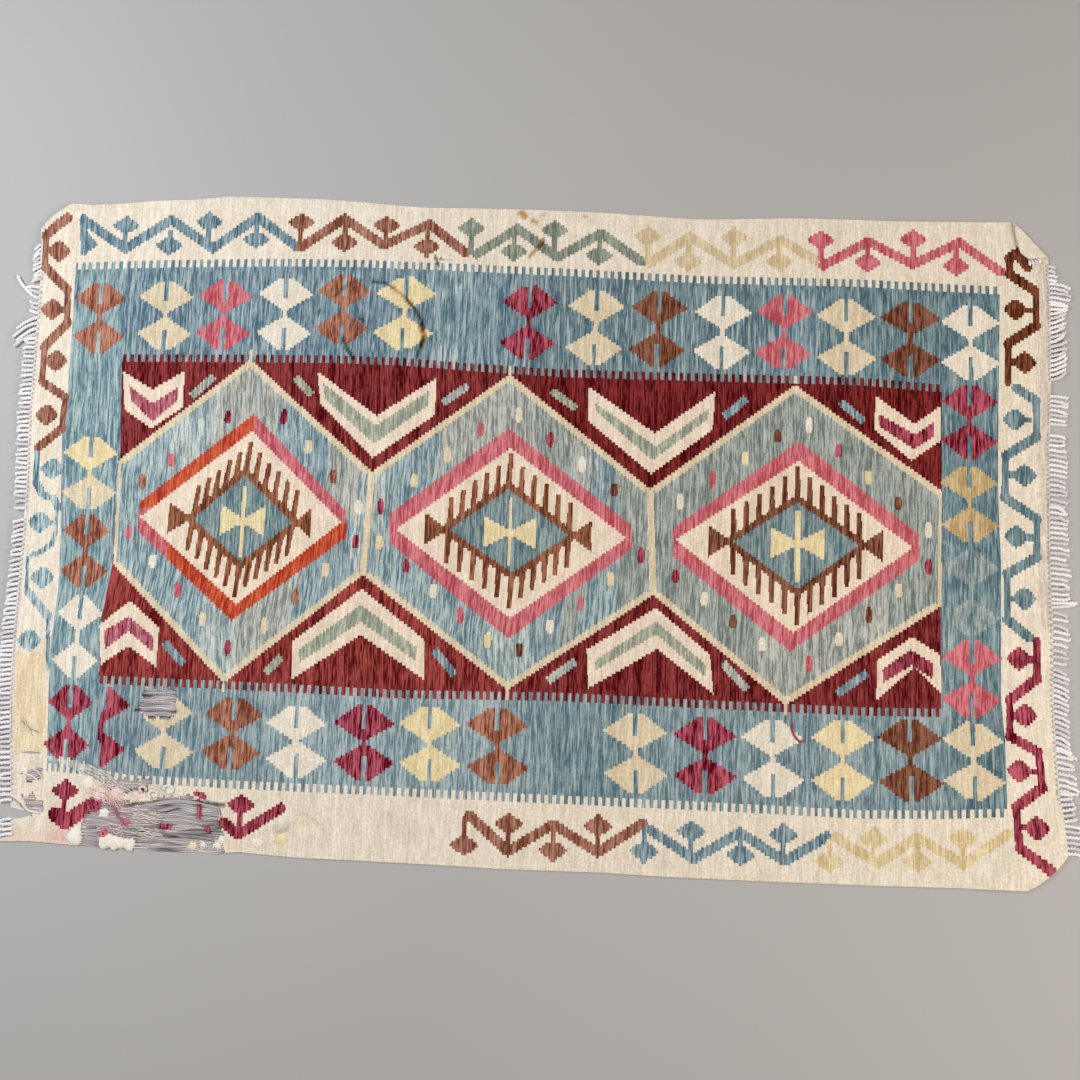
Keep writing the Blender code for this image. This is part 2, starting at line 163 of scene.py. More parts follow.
RIGHT_BLUE = [
    (675, -386), (673, -282), (668, -225), (671, -24),
    (669, 20), (668, 94), (672, 276), (675, 383),
]
RIGHT_EDGE = [
    (757, -489), (757, -440), (754, -404), (749, -363),
    (745, -307), (742, -223), (744, -108), (742, -21),
    (744, 157), (747, 232), (749, 386), (747, 429),
    (748, 447), (753, 462), (746, 474),
]
ROW_GUIDES = [BOTTOM_EDGE, BOTTOM_COMB, BOTTOM_FIELD, TOP_FIELD, TOP_COMB, TOP_EDGE]
ROW_WOVEN = [-487.0, -388.0, -246.0, 236.0, 388.0, 489.0]
COLUMN_GUIDES = [LEFT_EDGE, LEFT_BLUE, LEFT_FIELD, RIGHT_FIELD, RIGHT_BLUE, RIGHT_EDGE]
COLUMN_WOVEN = [-770.0, -712.0, -634.0, 585.0, 671.0, 746.0]

# ---- the weave itself

WARP_PITCH = 1.952
ROWS = 250  # pairs of warps
RUN = 1.4  # shortest run of weft along the warps
COLUMNS = round((COLUMN_WOVEN[-1] - COLUMN_WOVEN[0]) / RUN)
COARSE = 18  # a plain run is cut at every so many short runs
FINE = 2  # and at so many where a stain or painted shade lies on it
NOISE_SKIP = 2  # the chart's noise is worked out at every so many cells
LAID_ROUNDS = 5
SHARP_ANGLE = 50
TOOTH_PITCH = 11.1
TOOTH_REACH = 6.0

# ---- cloth thickness and folds, as in the CAD model

CLOTH_THICKNESS = 2.2
BEND_RADIUS = 1.9
BEND_STEPS = 6
FOLD_SPANS = 5
BOW_FADE = 30.0
RAMP_LENGTH = 34.0
RAMP_STEPS = 4
FLAP_SPRING = 0.03
Fold = namedtuple("Fold", "start end over depth bow")
FOLDS = [
    Fold((-740, 480), (-783, 440), False, 31.0, 3.5),
    Fold((745, 435), (696, 489), True, 29.0, 0.5),
    Fold((703, -488), (757, -440), False, 38.0, 4.9),
]
WAVE_HEIGHT = 1.3
WAVE_LENGTH = 170.0
WAVE_STRETCH = 1.6  # a wave is this much longer along the wefts
WAVE_SEED = 3.3
WAVE_MIDDLE = 0.5
WAVE_FADE = (70.0, 150.0)  # no wave near a fold

Slit = namedtuple("Slit", "x_start y_start x_end y_end arch width")
SLITS = [
    Slit(-576, -422, -443, -414, 4.6, 4.6),
    Slit(-541, -429, -503, -425.5, 0.0, 3.4),
    Slit(-522, -464, -449, -468, 0.0, 3.4),
    Slit(-577, -287, -521, -285, 0.5, 2.6),
    Slit(-733, -384, -708, -380, 0.0, 6.0),
    Slit(-737, -352, -714, -353, 0.0, 4.4),
    Slit(-790, -431, -712, -444, 0.0, 14.0),  # the tear at the left end, open to its edge
]
SLIT_FADE = 9.0  # rows beside a slit give way over this far

# ---- motifs, in plan millimetres

Hourglass = namedtuple("Hourglass", "x_upper y_upper x_lower y_lower width dyes")
HOURGLASSES = [
    Hourglass(-682, 331, -680, 272, 40, "rust"),
    Hourglass(-581, 336, -580, 279, 42, "tan"),
    Hourglass(-491, 340, -491, 283, 42, "pink"),
    Hourglass(-399, 346, -398, 286, 42, "ivory"),
    Hourglass(-310, 353, -311, 296, 41, "rust"),
    Hourglass(-216, 352, -218, 291, 46, "yellow"),
    Hourglass(-28, 344, -30, 281, 43, "crimson"),
    Hourglass(73, 340, 71, 276, 43, "tan"),
    Hourglass(167, 340, 165, 276, 43, "brown"),
    Hourglass(263, 336, 261, 276, 43, "ivory"),
    Hourglass(355, 340, 353, 277, 43, "pink"),
    Hourglass(446, 335, 447, 272, 45, "tan"),
    Hourglass(542, 335, 541, 272, 46, "brown"),
    Hourglass(630, 331, 630, 270, 44, "ivory"),
    Hourglass(628, 210, 627, 151, 42, "crimson"),
    Hourglass(625, 88, 627, 26, 42, "gold"),
    Hourglass(627, -38, 627, -108, 42, "ghost"),
    Hourglass(627, -167, 626, -226, 43, "pink"),
    Hourglass(-675, -278, -676, -338, 34, "crimson"),
    Hourglass(-626, -280, -628, -342, 40, "crimson"),
    Hourglass(-537, -287, -533, -343, 44, "tan"),
    Hourglass(-434, -287, -435, -340, 44, "rust"),
    Hourglass(-342, -296, -339, -347, 44, "ivory"),
    Hourglass(-244, -292, -241, -347, 45, "crimson"),
    Hourglass(-149, -290, -146, -346, 45, "yellow"),
    Hourglass(-52, -288, -48, -347, 46, "rust"),
    Hourglass(147, -290, 150, -349, 46, "tan"),
    Hourglass(247, -291, 248, -348, 46, "crimson"),
    Hourglass(343, -291, 345, -349, 45, "ivory"),
    Hourglass(443, -288, 443, -348, 45, "yellow"),
    Hourglass(538, -284, 540, -346, 47, "brown"),
    Hourglass(627, -284, 629, -341, 44, "tan"),
    Hourglass(-677, 92, -674, 32, 42, "yellow tan"),
    Hourglass(-673, -26, -672, -85, 36, "rust"),
    Hourglass(-672, -148, -674, -216, 34, "ivory"),
]
HALF_WOVEN = HOURGLASSES[19]  # only its right half was woven
GLASS_OUTER_SLOPE = 33.6
GLASS_INNER_SLOPE = 27.0
GLASS_CUT = 25.5
GLASS_NECK = 3.2
SLOT_WIDTH = 6.4
SLOT_PAST_MIDDLE = 7.0

Medallion = namedtuple("Medallion", "outline band cream core lean tails bar bow comb band_dyes")
MEDALLIONS = [
    Medallion(
        [(-446, 243), (-253, 77), (-258, -77), (-452, -242), (-629, -74), (-634, 82)],
        [(-435, 159), (-288, 16), (-285, -22), (-447, -151), (-596, -24), (-597, 20)],
        [(-436, 133), (-294, 0), (-442, -127), (-594, -2)],
        [(-442, 65), (-367, -3), (-440, -64), (-515, -2)],
        0.11, (37, 28), 3.0, 33, "chestnut", ("orange", "pink", "orange", "orange"),
    ),
    Medallion(
        [(-54, 232), (160, 64), (168, -92), (-39, -237), (-258, -77), (-253, 77)],
        [(-52, 149), (134, 9), (136, -25), (-40, -163), (-222, -28), (-223, 15)],
        [(-48, 119), (127, -10), (-39, -133), (-213, -8)],
        [(-49, 57), (42, -9), (-39, -66), (-134, -6)],
        0.04, (36, 34), 2.0, 38, "chestnut", ("pink", "pink", "pink", "pink"),
    ),
    Medallion(
        [(371, 228), (586, 75), (584, -94), (361, -244), (168, -92), (160, 64)],
        [(378, 143), (552, 10), (554, -28), (367, -167), (196, -35), (194, 7)],
        [(377, 113), (544, -10), (371, -140), (199, -10)],
        [(376, 51), (466, -9), (377, -76), (283, -10)],
        0.0, (36, 35), 4.0, 39, "brown", ("pink", "pink", "pink", "pink"),
    ),
]
OUTLINE_WIDTH = 9.4
WALL_WIDTH = 5.0
RING_WIDTH = 9.6
TEETH = 5  # on each side of the one at the apex, the last at the core's side
TOOTH_WIDTH = 9.8
TOOTH_TIP_WIDTH = 6.6
TOOTH_LENGTH = 49.0
APEX_LENGTH = 53.0
TAIL_NECK = (4.5, 8.0)  # half its width, and its length
TAIL_HALF = 23.5
BOW_HALF = 23.0
BOW_WAIST = (6.0, 6.0)  # half its width, and how far it reaches from the bar
BAR_GAPS = (14.0, 8.0)  # from the core's upper and lower tips to the bar
PINK_LEFT_TIP = (-602, 12, -549, -62)  # where pink yarn fills the first medallion's orange band
TICK = (5.0, 13.0)  # the outline's tan runs on through the toothed join above each apex

Lot = namedtuple("Lot", "x_from x_to upper lower")
FIELD_LOTS = [
    Lot(-640, -560, "sky", "sky"), Lot(-560, -492, "pale_sky", "sky"), Lot(-492, -440, "mist", "pale_sky"),
    Lot(-440, -400, "mist", "mist"), Lot(-400, -355, "sky", "mist"), Lot(-355, -312, "blue", "sky"),
    Lot(-312, -280, "mist", "low_blue"), Lot(-280, -225, "pale_sky", "pale_sky"),
    Lot(-225, -150, "sky", "sky"), Lot(-150, -62, "mist", "sky"), Lot(-62, -10, "mist", "pale_sky"),
    Lot(-10, 36, "slate", "low_blue"), Lot(36, 70, "mist", "slate"), Lot(70, 110, "low_blue", "sky"),
    Lot(110, 330, "slate", "slate"), Lot(330, 420, "slate", "mist"), Lot(420, 500, "slate", "mist"),
    Lot(500, 590, "slate", "slate"),
]
BORDER_LOTS = [
    Lot(-730, -640, "light_blue", "light_blue"), Lot(-640, -340, "blue", "low_blue"),
    Lot(-340, -172, "blue", "low_pale"), Lot(-172, -126, "streaky_blue", "low_pale"),
    Lot(-126, -50, "blue", "low_pale"), Lot(-50, 20, "teal_blue", "low_blue"),
    Lot(20, 90, "teal_blue", "low_teal"), Lot(90, 160, "teal_blue", "low_teal"),
    Lot(160, 330, "teal_blue", "low_right"), Lot(330, 420, "blue", "low_right"),
    Lot(420, 600, "deep_blue", "low_right"), Lot(600, 680, "deep_blue", "deep_blue"),
]
RED_LOTS = [Lot(-640, -20, "red", "pale_red"), Lot(-20, 590, "deep_red", "red")]
LOT_WANDER = 22.0  # a new lot of yarn starts this much sooner or later
LOT_GRAINS = [(7, 60, 0.0), (30, 90, 5.0)]  # size of that noise along and across the warps, and seed

Chevron = namedtuple("Chevron", "outline core dye")
CHEVRONS = [
    Chevron([(-343, 227), (-250, 162), (-164, 222), (-163, 166), (-253, 98), (-336, 178)],
            [(-334, 210), (-251, 147), (-173, 203), (-174, 180), (-252, 119), (-330, 186)], "sage"),
    Chevron([(64, 216), (165, 148), (253, 214), (250, 156), (161, 87), (65, 164)],
            [(73, 193), (167, 128), (244, 188), (242, 171), (162, 107), (78, 178)], "sage"),
    Chevron([(-638, 218), (-591, 192), (-545, 221), (-542, 167), (-588, 132), (-631, 160)],
            [(-627, 197), (-589, 170), (-552, 197), (-552, 176), (-587, 142), (-623, 175)], "raspberry"),
    Chevron([(490, 215), (547, 174), (586, 203), (585, 150), (542, 119), (488, 164)],
            [(494, 188), (548, 158), (575, 178), (576, 157), (546, 136), (495, 169)], "crimson"),
    Chevron([(-258, -98), (-163, -169), (-161, -226), (-256, -165), (-353, -233), (-355, -178)],
            [(-258, -121), (-173, -181), (-174, -200), (-257, -146), (-343, -209), (-346, -190)], "sage"),
    Chevron([(173, -111), (252, -176), (258, -232), (176, -170), (78, -230), (74, -175)],
            [(173, -130), (247, -191), (246, -208), (174, -149), (86, -205), (88, -189)], "sage"),
    Chevron([(-599, -127), (-553, -165), (-553, -222), (-596, -193), (-635, -222), (-642, -164)],
            [(-599, -150), (-560, -179), (-560, -201), (-598, -172), (-631, -200), (-634, -172)],
            "raspberry"),
    Chevron([(542, -140), (582, -164), (583, -219), (545, -183), (491, -232), (492, -175)],
            [(540, -158), (572, -177), (571, -199), (541, -181), (501, -207), (499, -188)], "crimson"),
]

Dash = namedtuple("Dash", "x_from y_from x_to y_to dye")
DASHES = [
    Dash(-531, 183, -500, 215, "mist"), Dash(-376, 217, -350, 191, "sage"),
    Dash(-152, 185, -116, 212, "mist"), Dash(9, 208, 47, 182, "sage"),
    Dash(267, 176, 299, 205, "blue"), Dash(438, 204, 473, 175, "blue"),
    Dash(-544, -186, -513, -217, "blue"), Dash(-392, -225, -370, -201, "sage"),
    Dash(-148, -183, -116, -218, "blue"), Dash(19, -222, 58, -192, "mist"),
    Dash(271, -187, 306, -224, "mist"), Dash(435, -225, 478, -194, "blue"),
]
DASH_WIDTH = 11.5

SpotRow = namedtuple("SpotRow", "x_from y_from x_to y_to dyes")
SPOT_ROWS = [
    SpotRow(-595, 51, -474, 152, "rust pink . crimson"),
    SpotRow(-390, 156, -270, 24, "crimson tan rust ivory"),
    SpotRow(-610, -26, -450, -191, "pink ivory pink tan crimson"),
    SpotRow(-398, -156, -271, -29, "tan rust tan crimson"),
    SpotRow(-237, 25, -94, 146, "crimson yellow tan pink"),
    SpotRow(-38, 170, 107, 61, "ivory crimson ivory brown"),
    SpotRow(-236, -28, -70, -166, "yellow crimson ivory pink yellow"),
    SpotRow(-24, -179, 149, -35, "brown ivory pink yellow crimson"),
    SpotRow(204, 47, 346, 149, "ivory pink yellow brown"),
    SpotRow(392, 167, 566, 17, "ivory crimson yellow brown ivory"),
    SpotRow(200, -64, 327, -159, "crimson ivory brown ivory"),
    SpotRow(394, -184, 566, -37, "pink ivory brown tan crimson"),
]
SPOT_HALF = (5.2, 10.6)
SPOT_CORNER = 1.55  # 2 would leave a spot's corners square

Vine = namedtuple("Vine", "dye width line flowers")
Flower = namedtuple("Flower", "x y facing stem")
UP, DOWN, LEFT, RIGHT = (0, 1), (0, -1), (-1, 0), (1, 0)
VINES = [
    Vine("blue", 10.4, [(-717, 454), (-650, 411), (-583, 459), (-516, 415), (-450, 467), (-388, 422)],
         [Flower(-652, 448, UP, 30), Flower(-583, 418, DOWN, 26), Flower(-524, 457, UP, 36),
          Flower(-450, 431, DOWN, 28)]),
    Vine("terracotta", 10.2, [(-381, 420), (-316, 468), (-254, 427), (-186, 463), (-129, 419)],
         [Flower(-382, 460, UP, 34), Flower(-314, 430, DOWN, 30), Flower(-251, 459, UP, 28),
          Flower(-188, 427, DOWN, 28)]),
    Vine("sage_vine", 10.2, [(-112, 417), (-51, 459), (11, 415), (76, 455), (138, 412)],
         [Flower(-121, 458, UP, 44), Flower(-55, 423, DOWN, 26), Flower(6, 458, UP, 34),
          Flower(74, 420, DOWN, 28)]),
    Vine("beige", 10.2, [(151, 410), (211, 454), (277, 411), (347, 452), (401, 421)],
         [Flower(147, 452, UP, 40), Flower(209, 414, DOWN, 30), Flower(277, 454, UP, 34),
          Flower(346, 418, DOWN, 26)]),
    Vine("pink", 10.2, [(411, 413), (479, 453), (545, 419), (615, 455), (677, 410)],
         [Flower(408, 453, UP, 34), Flower(478, 420, DOWN, 26), Flower(546, 458, UP, 30),
          Flower(610, 418, DOWN, 28)]),
    Vine("terracotta", 10.0, [(-86, -416), (-29, -464), (34, -424), (98, -460), (161, -418)],
         [Flower(-92, -458, DOWN, 42), Flower(-29, -426, UP, 30), Flower(35, -460, DOWN, 28),
          Flower(98, -424, UP, 28)]),
    Vine("blue", 10.0, [(170, -425), (234, -464), (299, -425), (362, -462), (421, -426)],
         [Flower(164, -456, DOWN, 34), Flower(230, -426, UP, 30), Flower(300, -456, DOWN, 26),
          Flower(360, -426, UP, 28)]),
    Vine("pale_gold", 10.0, [(434, -426), (492, -460), (547, -422), (612, -456), (676, -412)],
         [Flower(425, -460, DOWN, 30), Flower(487, -426, UP, 28), Flower(548, -455, DOWN, 26),
          Flower(611, -421, UP, 28)]),
    Vine("crimson", 10.6, [(-438, -440), (-416, -456), (-357, -417)], [Flower(-415, -414, UP, 40)]),
    Vine("crimson", 15.0, [(-683, -438), (-667, -448), (-641, -430), (-626, -420)],
         [Flower(-671, -404, UP, 40)]),
    Vine("dark", 10.5, [(716, 420), (700, 441), (689, 432), (689, 408), (724, 384)], []),
    Vine("dark", 10.0, [(727, 385), (727, 329), (685, 300)], [Flower(697, 353, LEFT, 28)]),
    Vine("dark", 10.0, [(685, 300), (684, 240)], [Flower(709, 272, RIGHT, 24)]),
    Vine("deep_blue", 10.0, [(696, 233), (725, 214), (724, 160), (679, 130), (677, 68), (723, 38)],
         [Flower(693, 185, LEFT, 26), Flower(706, 102, RIGHT, 24)]),
    Vine("deep_blue", 10.0, [(723, 38), (722, -18), (679, -44), (678, -110), (709, -135)],
         [Flower(693, 11, LEFT, 26), Flower(703, -79, RIGHT, 26)]),
    Vine("crimson", 10.0, [(720, -138), (719, -193), (680, -225), (679, -276), (719, -297), (724, -346)],
         [Flower(694, -166, LEFT, 26), Flower(701, -246, RIGHT, 24)]),
    Vine("crimson", 10.4, [(724, -346), (687, -375), (690, -431), (731, -458)],
         [Flower(692, -324, LEFT, 32), Flower(715, -403, RIGHT, 26)]),
    Vine("terracotta", 9.6, [(-741, 456), (-773, 428), (-771, 378), (-734, 343), (-730, 291), (-762, 253)],
         [Flower(-752, 404, RIGHT, 22), Flower(-755, 312, LEFT, 26)]),
    Vine("terracotta", 9.0, [(-762, 253), (-760, 199), (-723, 176), (-724, 128), (-757, 98)],
         [Flower(-742, 232, RIGHT, 20), Flower(-749, 148, LEFT, 0)]),
    Vine("pale_blue", 8.2, [(-758, 90), (-755, 44), (-744, 27), (-726, 21), (-719, 8)],
         [Flower(-732, 66, RIGHT, 22)]),
    Vine("pale_blue", 5.8, [(-719, 8), (-719, -30), (-723, -47), (-738, -59), (-752, -65)],
         [Flower(-744, -15, LEFT, 20)]),
    Vine("pale_blue", 5.0, [(-757, -70), (-755, -112)], [Flower(-733, -97, RIGHT, 0)]),
    Vine("pale_blue", 8.6, [(-752, -120), (-736, -136), (-719, -155)], []),
    Vine("pale_blue", 5.4, [(-719, -155), (-716, -190), (-713, -230)], [Flower(-744, -190, LEFT, 16)]),
]
SLANT_GAIN = 0.48  # a stretch that slants is wider than one along the warps by this share
FLOWER_HALF = (20.5, 13.5)
SIDE_FLOWER_HALF = (17.5, 16.5)
FLOWER_ROUNDNESS = 1.3  # 1 is a diamond and 2 an oval
KNOB = (3.2, 16.0)
STEM_WIDTHS = (7.5, 9.5)  # of a stem along the wefts, and of one along the warps
FIRST_BAR = ((-718, 458), (-714, 404), 11.0)  # the blue bar that starts the top border
FIRST_FOOT = [(-716, 442), (-693, 416), (-712, 402)]
SELVEDGE_WIDTH = 7.0  # plain band at the left end

Patch = namedtuple("Patch", "dye outline")
PATCHES = [
    Patch("straw", [(-763, -206), (-716, -206), (-704, -352), (-757, -352)]),  # thicker, yellower yarn
    # painted shade along the right border
    Patch("painted_shade_cream", [(728, 440), (762, 440), (760, -120), (724, -120)]),
    Patch("faded", [(-704, -357), (-652, -360), (-632, -368), (-606, -384), (-596, -398), (-650, -378)]),
    Patch("low_blue", [(-586, -270), (-566, -270), (-564, -296), (-558, -307), (-586, -307)]),
]

# ---- wear: where the weft is gone, what is left of it, stains, painted shade and loose wool

BARE_PLACES = [
    [(-641, -440), (-646, -495), (-430, -495), (-439, -466), (-444, -418), (-494, -406),
     (-536, -411), (-566, -419), (-600, -414), (-622, -416)],
    [(-622, -392), (-586, -384), (-549, -383), (-546, -398), (-585, -403), (-612, -402)],
    [(-566, -253), (-520, -254), (-518, -287), (-526, -297), (-554, -298), (-562, -290), (-574, -286)],
    [(-732, -415), (-720, -410), (-702, -422), (-703, -434), (-724, -437)],
    [(-734, -382), (-722, -376), (-708, -374), (-706, -384), (-714, -390), (-724, -392)],
]
Remnant = namedtuple("Remnant", "x_from y_from x_to y_to width dye")
REMNANTS = [
    Remnant(-636, -428, -624, -422, 13, "crimson"),
    Remnant(-611, -458, -606, -464, 7, "pink"),
    Remnant(-530, -448, -514, -448, 5, "crimson"),
    Remnant(-480, -402, -470, -406, 10, "crimson"),
    Remnant(-476, -415, -474, -434, 7, "raspberry"),
    Remnant(-462, -448, -458, -455, 6, "crimson"),
    Remnant(-562, -296, -550, -303, 5, "tan"),
    Remnant(-550, -303, -528, -304, 7, "tan"),
    Remnant(-516, -273, -514, -288, 8, "tan"),
]
FRAY = 7.0  # the edge of a patch or a bare place wanders this far
FRAY_GRAIN = (9, 6, 2.0)

StainAndShade = namedtuple("StainAndShade", "points width edge strength tint")
# the first deep tint darkens real soot stains and also lines of painted shade
SOOT_AND_PAINTED_SHADE = (0.10, 0.09, 0.06)
OIL = (0.46, 0.27, 0.10)
RUSTY = (0.60, 0.36, 0.14)
ROSE = (0.97, 0.72, 0.74)
GREY = (0.62, 0.63, 0.64)
# real stains, with some lines of painted shade among them, marked below
STAINS_AND_SHADES = [
    StainAndShade([(-268, 370), (-252, 369), (-238, 362)], 5, 2, 0.8, SOOT_AND_PAINTED_SHADE),
    StainAndShade([(-238, 362), (-222, 350), (-206, 335)], 4, 2, 0.85, OIL),
    StainAndShade([(-214, 342), (-199, 326), (-191, 311), (-187, 296)], 6, 2, 0.9, SOOT_AND_PAINTED_SHADE),
    StainAndShade([(-191, 303), (-185, 286), (-189, 272)], 9, 2.5, 0.9, OIL),
    StainAndShade([(-186, 286), (-190, 272), (-195, 253)], 5, 2, 0.85, SOOT_AND_PAINTED_SHADE),
    StainAndShade([(-326, 344), (-316, 352), (-312, 358)], 4, 2, 0.6, SOOT_AND_PAINTED_SHADE),
    StainAndShade([(-312, 358), (-298, 368), (-284, 371)], 7, 3, 0.4, SOOT_AND_PAINTED_SHADE),
    StainAndShade([(-307, 279), (-300, 262), (-291, 250)], 6, 2, 0.85, SOOT_AND_PAINTED_SHADE),
    StainAndShade([(-346, 323), (-347, 316)], 4, 2, 0.9, SOOT_AND_PAINTED_SHADE),
    StainAndShade([(-352, 316), (-354, 296)], 5, 3, 0.35, SOOT_AND_PAINTED_SHADE),
    StainAndShade([(-284, 312), (-279, 308)], 5, 2, 0.95, SOOT_AND_PAINTED_SHADE),
    StainAndShade([(-175, 414), (-172, 405), (-168, 396)], 4, 1.5, 1.0, SOOT_AND_PAINTED_SHADE),
    StainAndShade([(-166, 410), (-168, 404)], 2, 1.5, 0.9, SOOT_AND_PAINTED_SHADE),
    StainAndShade([(-46, 484), (-41, 479)], 10, 3, 0.95, RUSTY),
    StainAndShade([(-28, 472), (-23, 470)], 7, 3, 0.9, RUSTY),
    StainAndShade([(48, 482), (52, 480)], 5, 2, 0.7, RUSTY),
    StainAndShade([(-12, 441), (-16, 433)], 8, 2, 0.9, OIL),
    StainAndShade([(-16, 433), (-31, 416)], 6, 2, 0.85, RUSTY),
    StainAndShade([(-20, 479), (-7, 484)], 4, 3, 0.4, RUSTY),
    StainAndShade([(-372, 466), (-366, 463)], 3, 2, 0.6, SOOT_AND_PAINTED_SHADE),
    StainAndShade([(-560, 437), (-552, 434)], 3, 2, 0.4, RUSTY),
    StainAndShade([(-693, 217), (-680, 211)], 2, 2, 0.55, SOOT_AND_PAINTED_SHADE),
    StainAndShade([(-688, 192), (-678, 203)], 2, 2, 0.45, SOOT_AND_PAINTED_SHADE),
    StainAndShade([(-637, -438), (-560, -440)], 30, 20, 0.45, ROSE),
    StainAndShade([(-756, -472), (-700, -470), (-655, -472)], 16, 30, 0.5, ROSE),
    StainAndShade([(-690, -470), (-660, -474)], 6, 14, 0.6, ROSE),
    StainAndShade([(-676, -436), (-668, -462)], 30, 16, 0.5, ROSE),
    StainAndShade([(-604, -416), (-596, -398)], 16, 8, 0.9, ROSE),
    StainAndShade([(-640, -404), (-626, -398)], 8, 8, 0.7, ROSE),
    StainAndShade([(-430, -430), (-420, -468)], 26, 12, 0.3, ROSE),
    StainAndShade([(-327, -424), (-305, -433), (-292, -446)], 4, 4, 0.6, GREY),
    # painted shadow just above the yellow tuft
    StainAndShade([(-362, -446), (-348, -442)], 12, 6, 0.5, GREY),
    StainAndShade([(-200, -430), (-165, -445)], 34, 14, 0.2, GREY),
    StainAndShade([(-742, -306), (-718, -324)], 4, 3, 0.5, GREY),
    # more painted shadow above the yellow tuft
    StainAndShade([(-358, -452), (-348, -447)], 6, 5, 0.35, SOOT_AND_PAINTED_SHADE),
    # painted shade: dark lines along the slits and the gaps among the bare warps
    StainAndShade([(-584, -422), (-540, -415), (-496, -412), (-439, -416)], 5, 2, 0.95, SOOT_AND_PAINTED_SHADE),
    StainAndShade([(-538, -428), (-505, -426)], 4, 2, 0.85, SOOT_AND_PAINTED_SHADE),
    StainAndShade([(-554, -450), (-525, -452)], 4, 2, 0.75, SOOT_AND_PAINTED_SHADE),
    StainAndShade([(-524, -464), (-484, -465), (-448, -468)], 5, 2, 0.95, SOOT_AND_PAINTED_SHADE),
    StainAndShade([(-580, -400), (-554, -398)], 4, 2, 0.85, SOOT_AND_PAINTED_SHADE),
    StainAndShade([(-636, -455), (-624, -455)], 4, 2, 0.85, SOOT_AND_PAINTED_SHADE),
    StainAndShade([(-579, -284), (-519, -285)], 4, 2, 0.95, SOOT_AND_PAINTED_SHADE),
]

Tuft = namedtuple("Tuft", "x y size dye")
TUFTS = [
    Tuft(-651, -469, 24, "fleece"), Tuft(-606, -474, 24, "fleece"), Tuft(-590, -473, 25, "fleece"),
    Tuft(-574, -475, 21, "fleece"), Tuft(-481, -474, 12, "straw"), Tuft(-466, -472, 8, "fleece"),
    Tuft(-440, -464, 11, "fleece"), Tuft(-445, -472, 11, "fleece"), Tuft(-388, -466, 17, "fleece"),
    Tuft(-354, -461, 18, "yellow"), Tuft(-323, -431, 12, "yellow"), Tuft(-639, -393, 18, "fleece"),
    Tuft(-649, -373, 9, "fleece"), Tuft(-612, -434, 15, "fleece"), Tuft(-597, -404, 15, "blush"),
    Tuft(-579, -445, 13, "raspberry"), Tuft(-624, -410, 13, "blush"), Tuft(-566, -408, 12, "blush"),
    Tuft(-542, -404, 11, "fleece"), Tuft(-520, -397, 12, "fleece"), Tuft(-504, -402, 10, "fleece"),
]
TUFT_SPAN = (7, 18)  # rings and sides of a tuft's mound
TUFT_HEIGHT = 0.2  # as a share of its size
TUFT_RAGGED = (0.5, 0.25)  # how far its broad lobes and its small ones stand out
TUFT_LOBES = (1.3, 3.5)  # how close together they are
TUFT_LUMPS = 2.0  # how close together the lumps on top are
TUFT_LUMP_RISE = 0.4
TUFT_FOOT = 1.2  # its underside lies a little inside the cloth
TUFT_PALENESS = 0.75
TUFT_SEED_STEP = 3.7
TUFT_FIBRES = 9
FIBRE_STEPS = 6
FIBRE_RADIUS = 0.35
FIBRE_START = (0.3, 0.1)  # its distance from the middle and how much that varies, by the tuft's size
FIBRE_HEIGHT = 3.0
FIBRE_SEEDS = (31, 1.7)  # from one tuft to the next, and from one fibre to the next
FIBRE_TURNS = (1.2, 0.8)  # how far it may turn at its start, and then at each step
FIBRE_RISE = 0.3

LooseYarn = namedtuple("LooseYarn", "points radius dye")
LOOSE_YARNS = [
    LooseYarn([(371, -268), (371, -279), (375, -289), (383, -295), (389, -292)], 1.7, "crimson"),
    LooseYarn([(-600, -422), (-592, -436), (-581, -447)], 1.7, "raspberry"),
    LooseYarn([(-762, -409), (-740, -417), (-725, -431), (-706, -438)], 1.9, "fleece"),
    LooseYarn([(-757, -413), (-738, -423), (-726, -434)], 1.2, "mist"),
    LooseYarn([(-738, -378), (-722, -386), (-712, -390)], 1.3, "fleece"),
    LooseYarn([(-726, -374), (-714, -378), (-706, -386)], 1.0, "fleece"),
    LooseYarn([(-744, -308), (-732, -316), (-719, -323)], 0.9, "mist"),
    LooseYarn([(-744, -300), (-736, -312), (-727, -326)], 0.9, "yellow"),
]
Fuzz = namedtuple("Fuzz", "x_from y_from x_to y_to spread count dye")
FUZZ = [
    Fuzz(-646, -368, -612, -384, 14, 7, "mist"),
    Fuzz(-630, -376, -590, -404, 20, 9, "fleece"),
    Fuzz(-608, -398, -588, -422, 16, 8, "blush"),
    Fuzz(-636, -404, -610, -412, 14, 6, "blush"),
    Fuzz(-592, -396, -562, -412, 12, 5, "fleece"),
    Fuzz(-552, -396, -506, -402, 10, 5, "fleece"),
    Fuzz(-574, -436, -530, -438, 14, 10, "fleece"),
    Fuzz(-566, -456, -530, -460, 12, 9, "fleece"),
    Fuzz(-604, -454, -580, -458, 12, 6, "blush"),
]
FUZZ_RADIUS = 0.45
FUZZ_BOW = 0.3  # how far a thread's middle strays, by half the spread
FUZZ_FLARE = 1.1  # the threads are this much further apart at their far ends
FUZZ_SLIDE = 0.25  # how far a thread lies along from its place, as a share of its length
FUZZ_SEED_STEP = 23
Curl = namedtuple("Curl", "x y size dye")
CURLS = [
    Curl(-542, -404, 12, "fleece"), Curl(-521, -397, 13, "fleece"), Curl(-558, -398, 9, "blush"),
    Curl(-628, -426, 11, "crimson"), Curl(-610, -463, 7, "pink"),
]
CURL_RADIUS = 1.9
CURL_SWEEP = 5.4  # radians
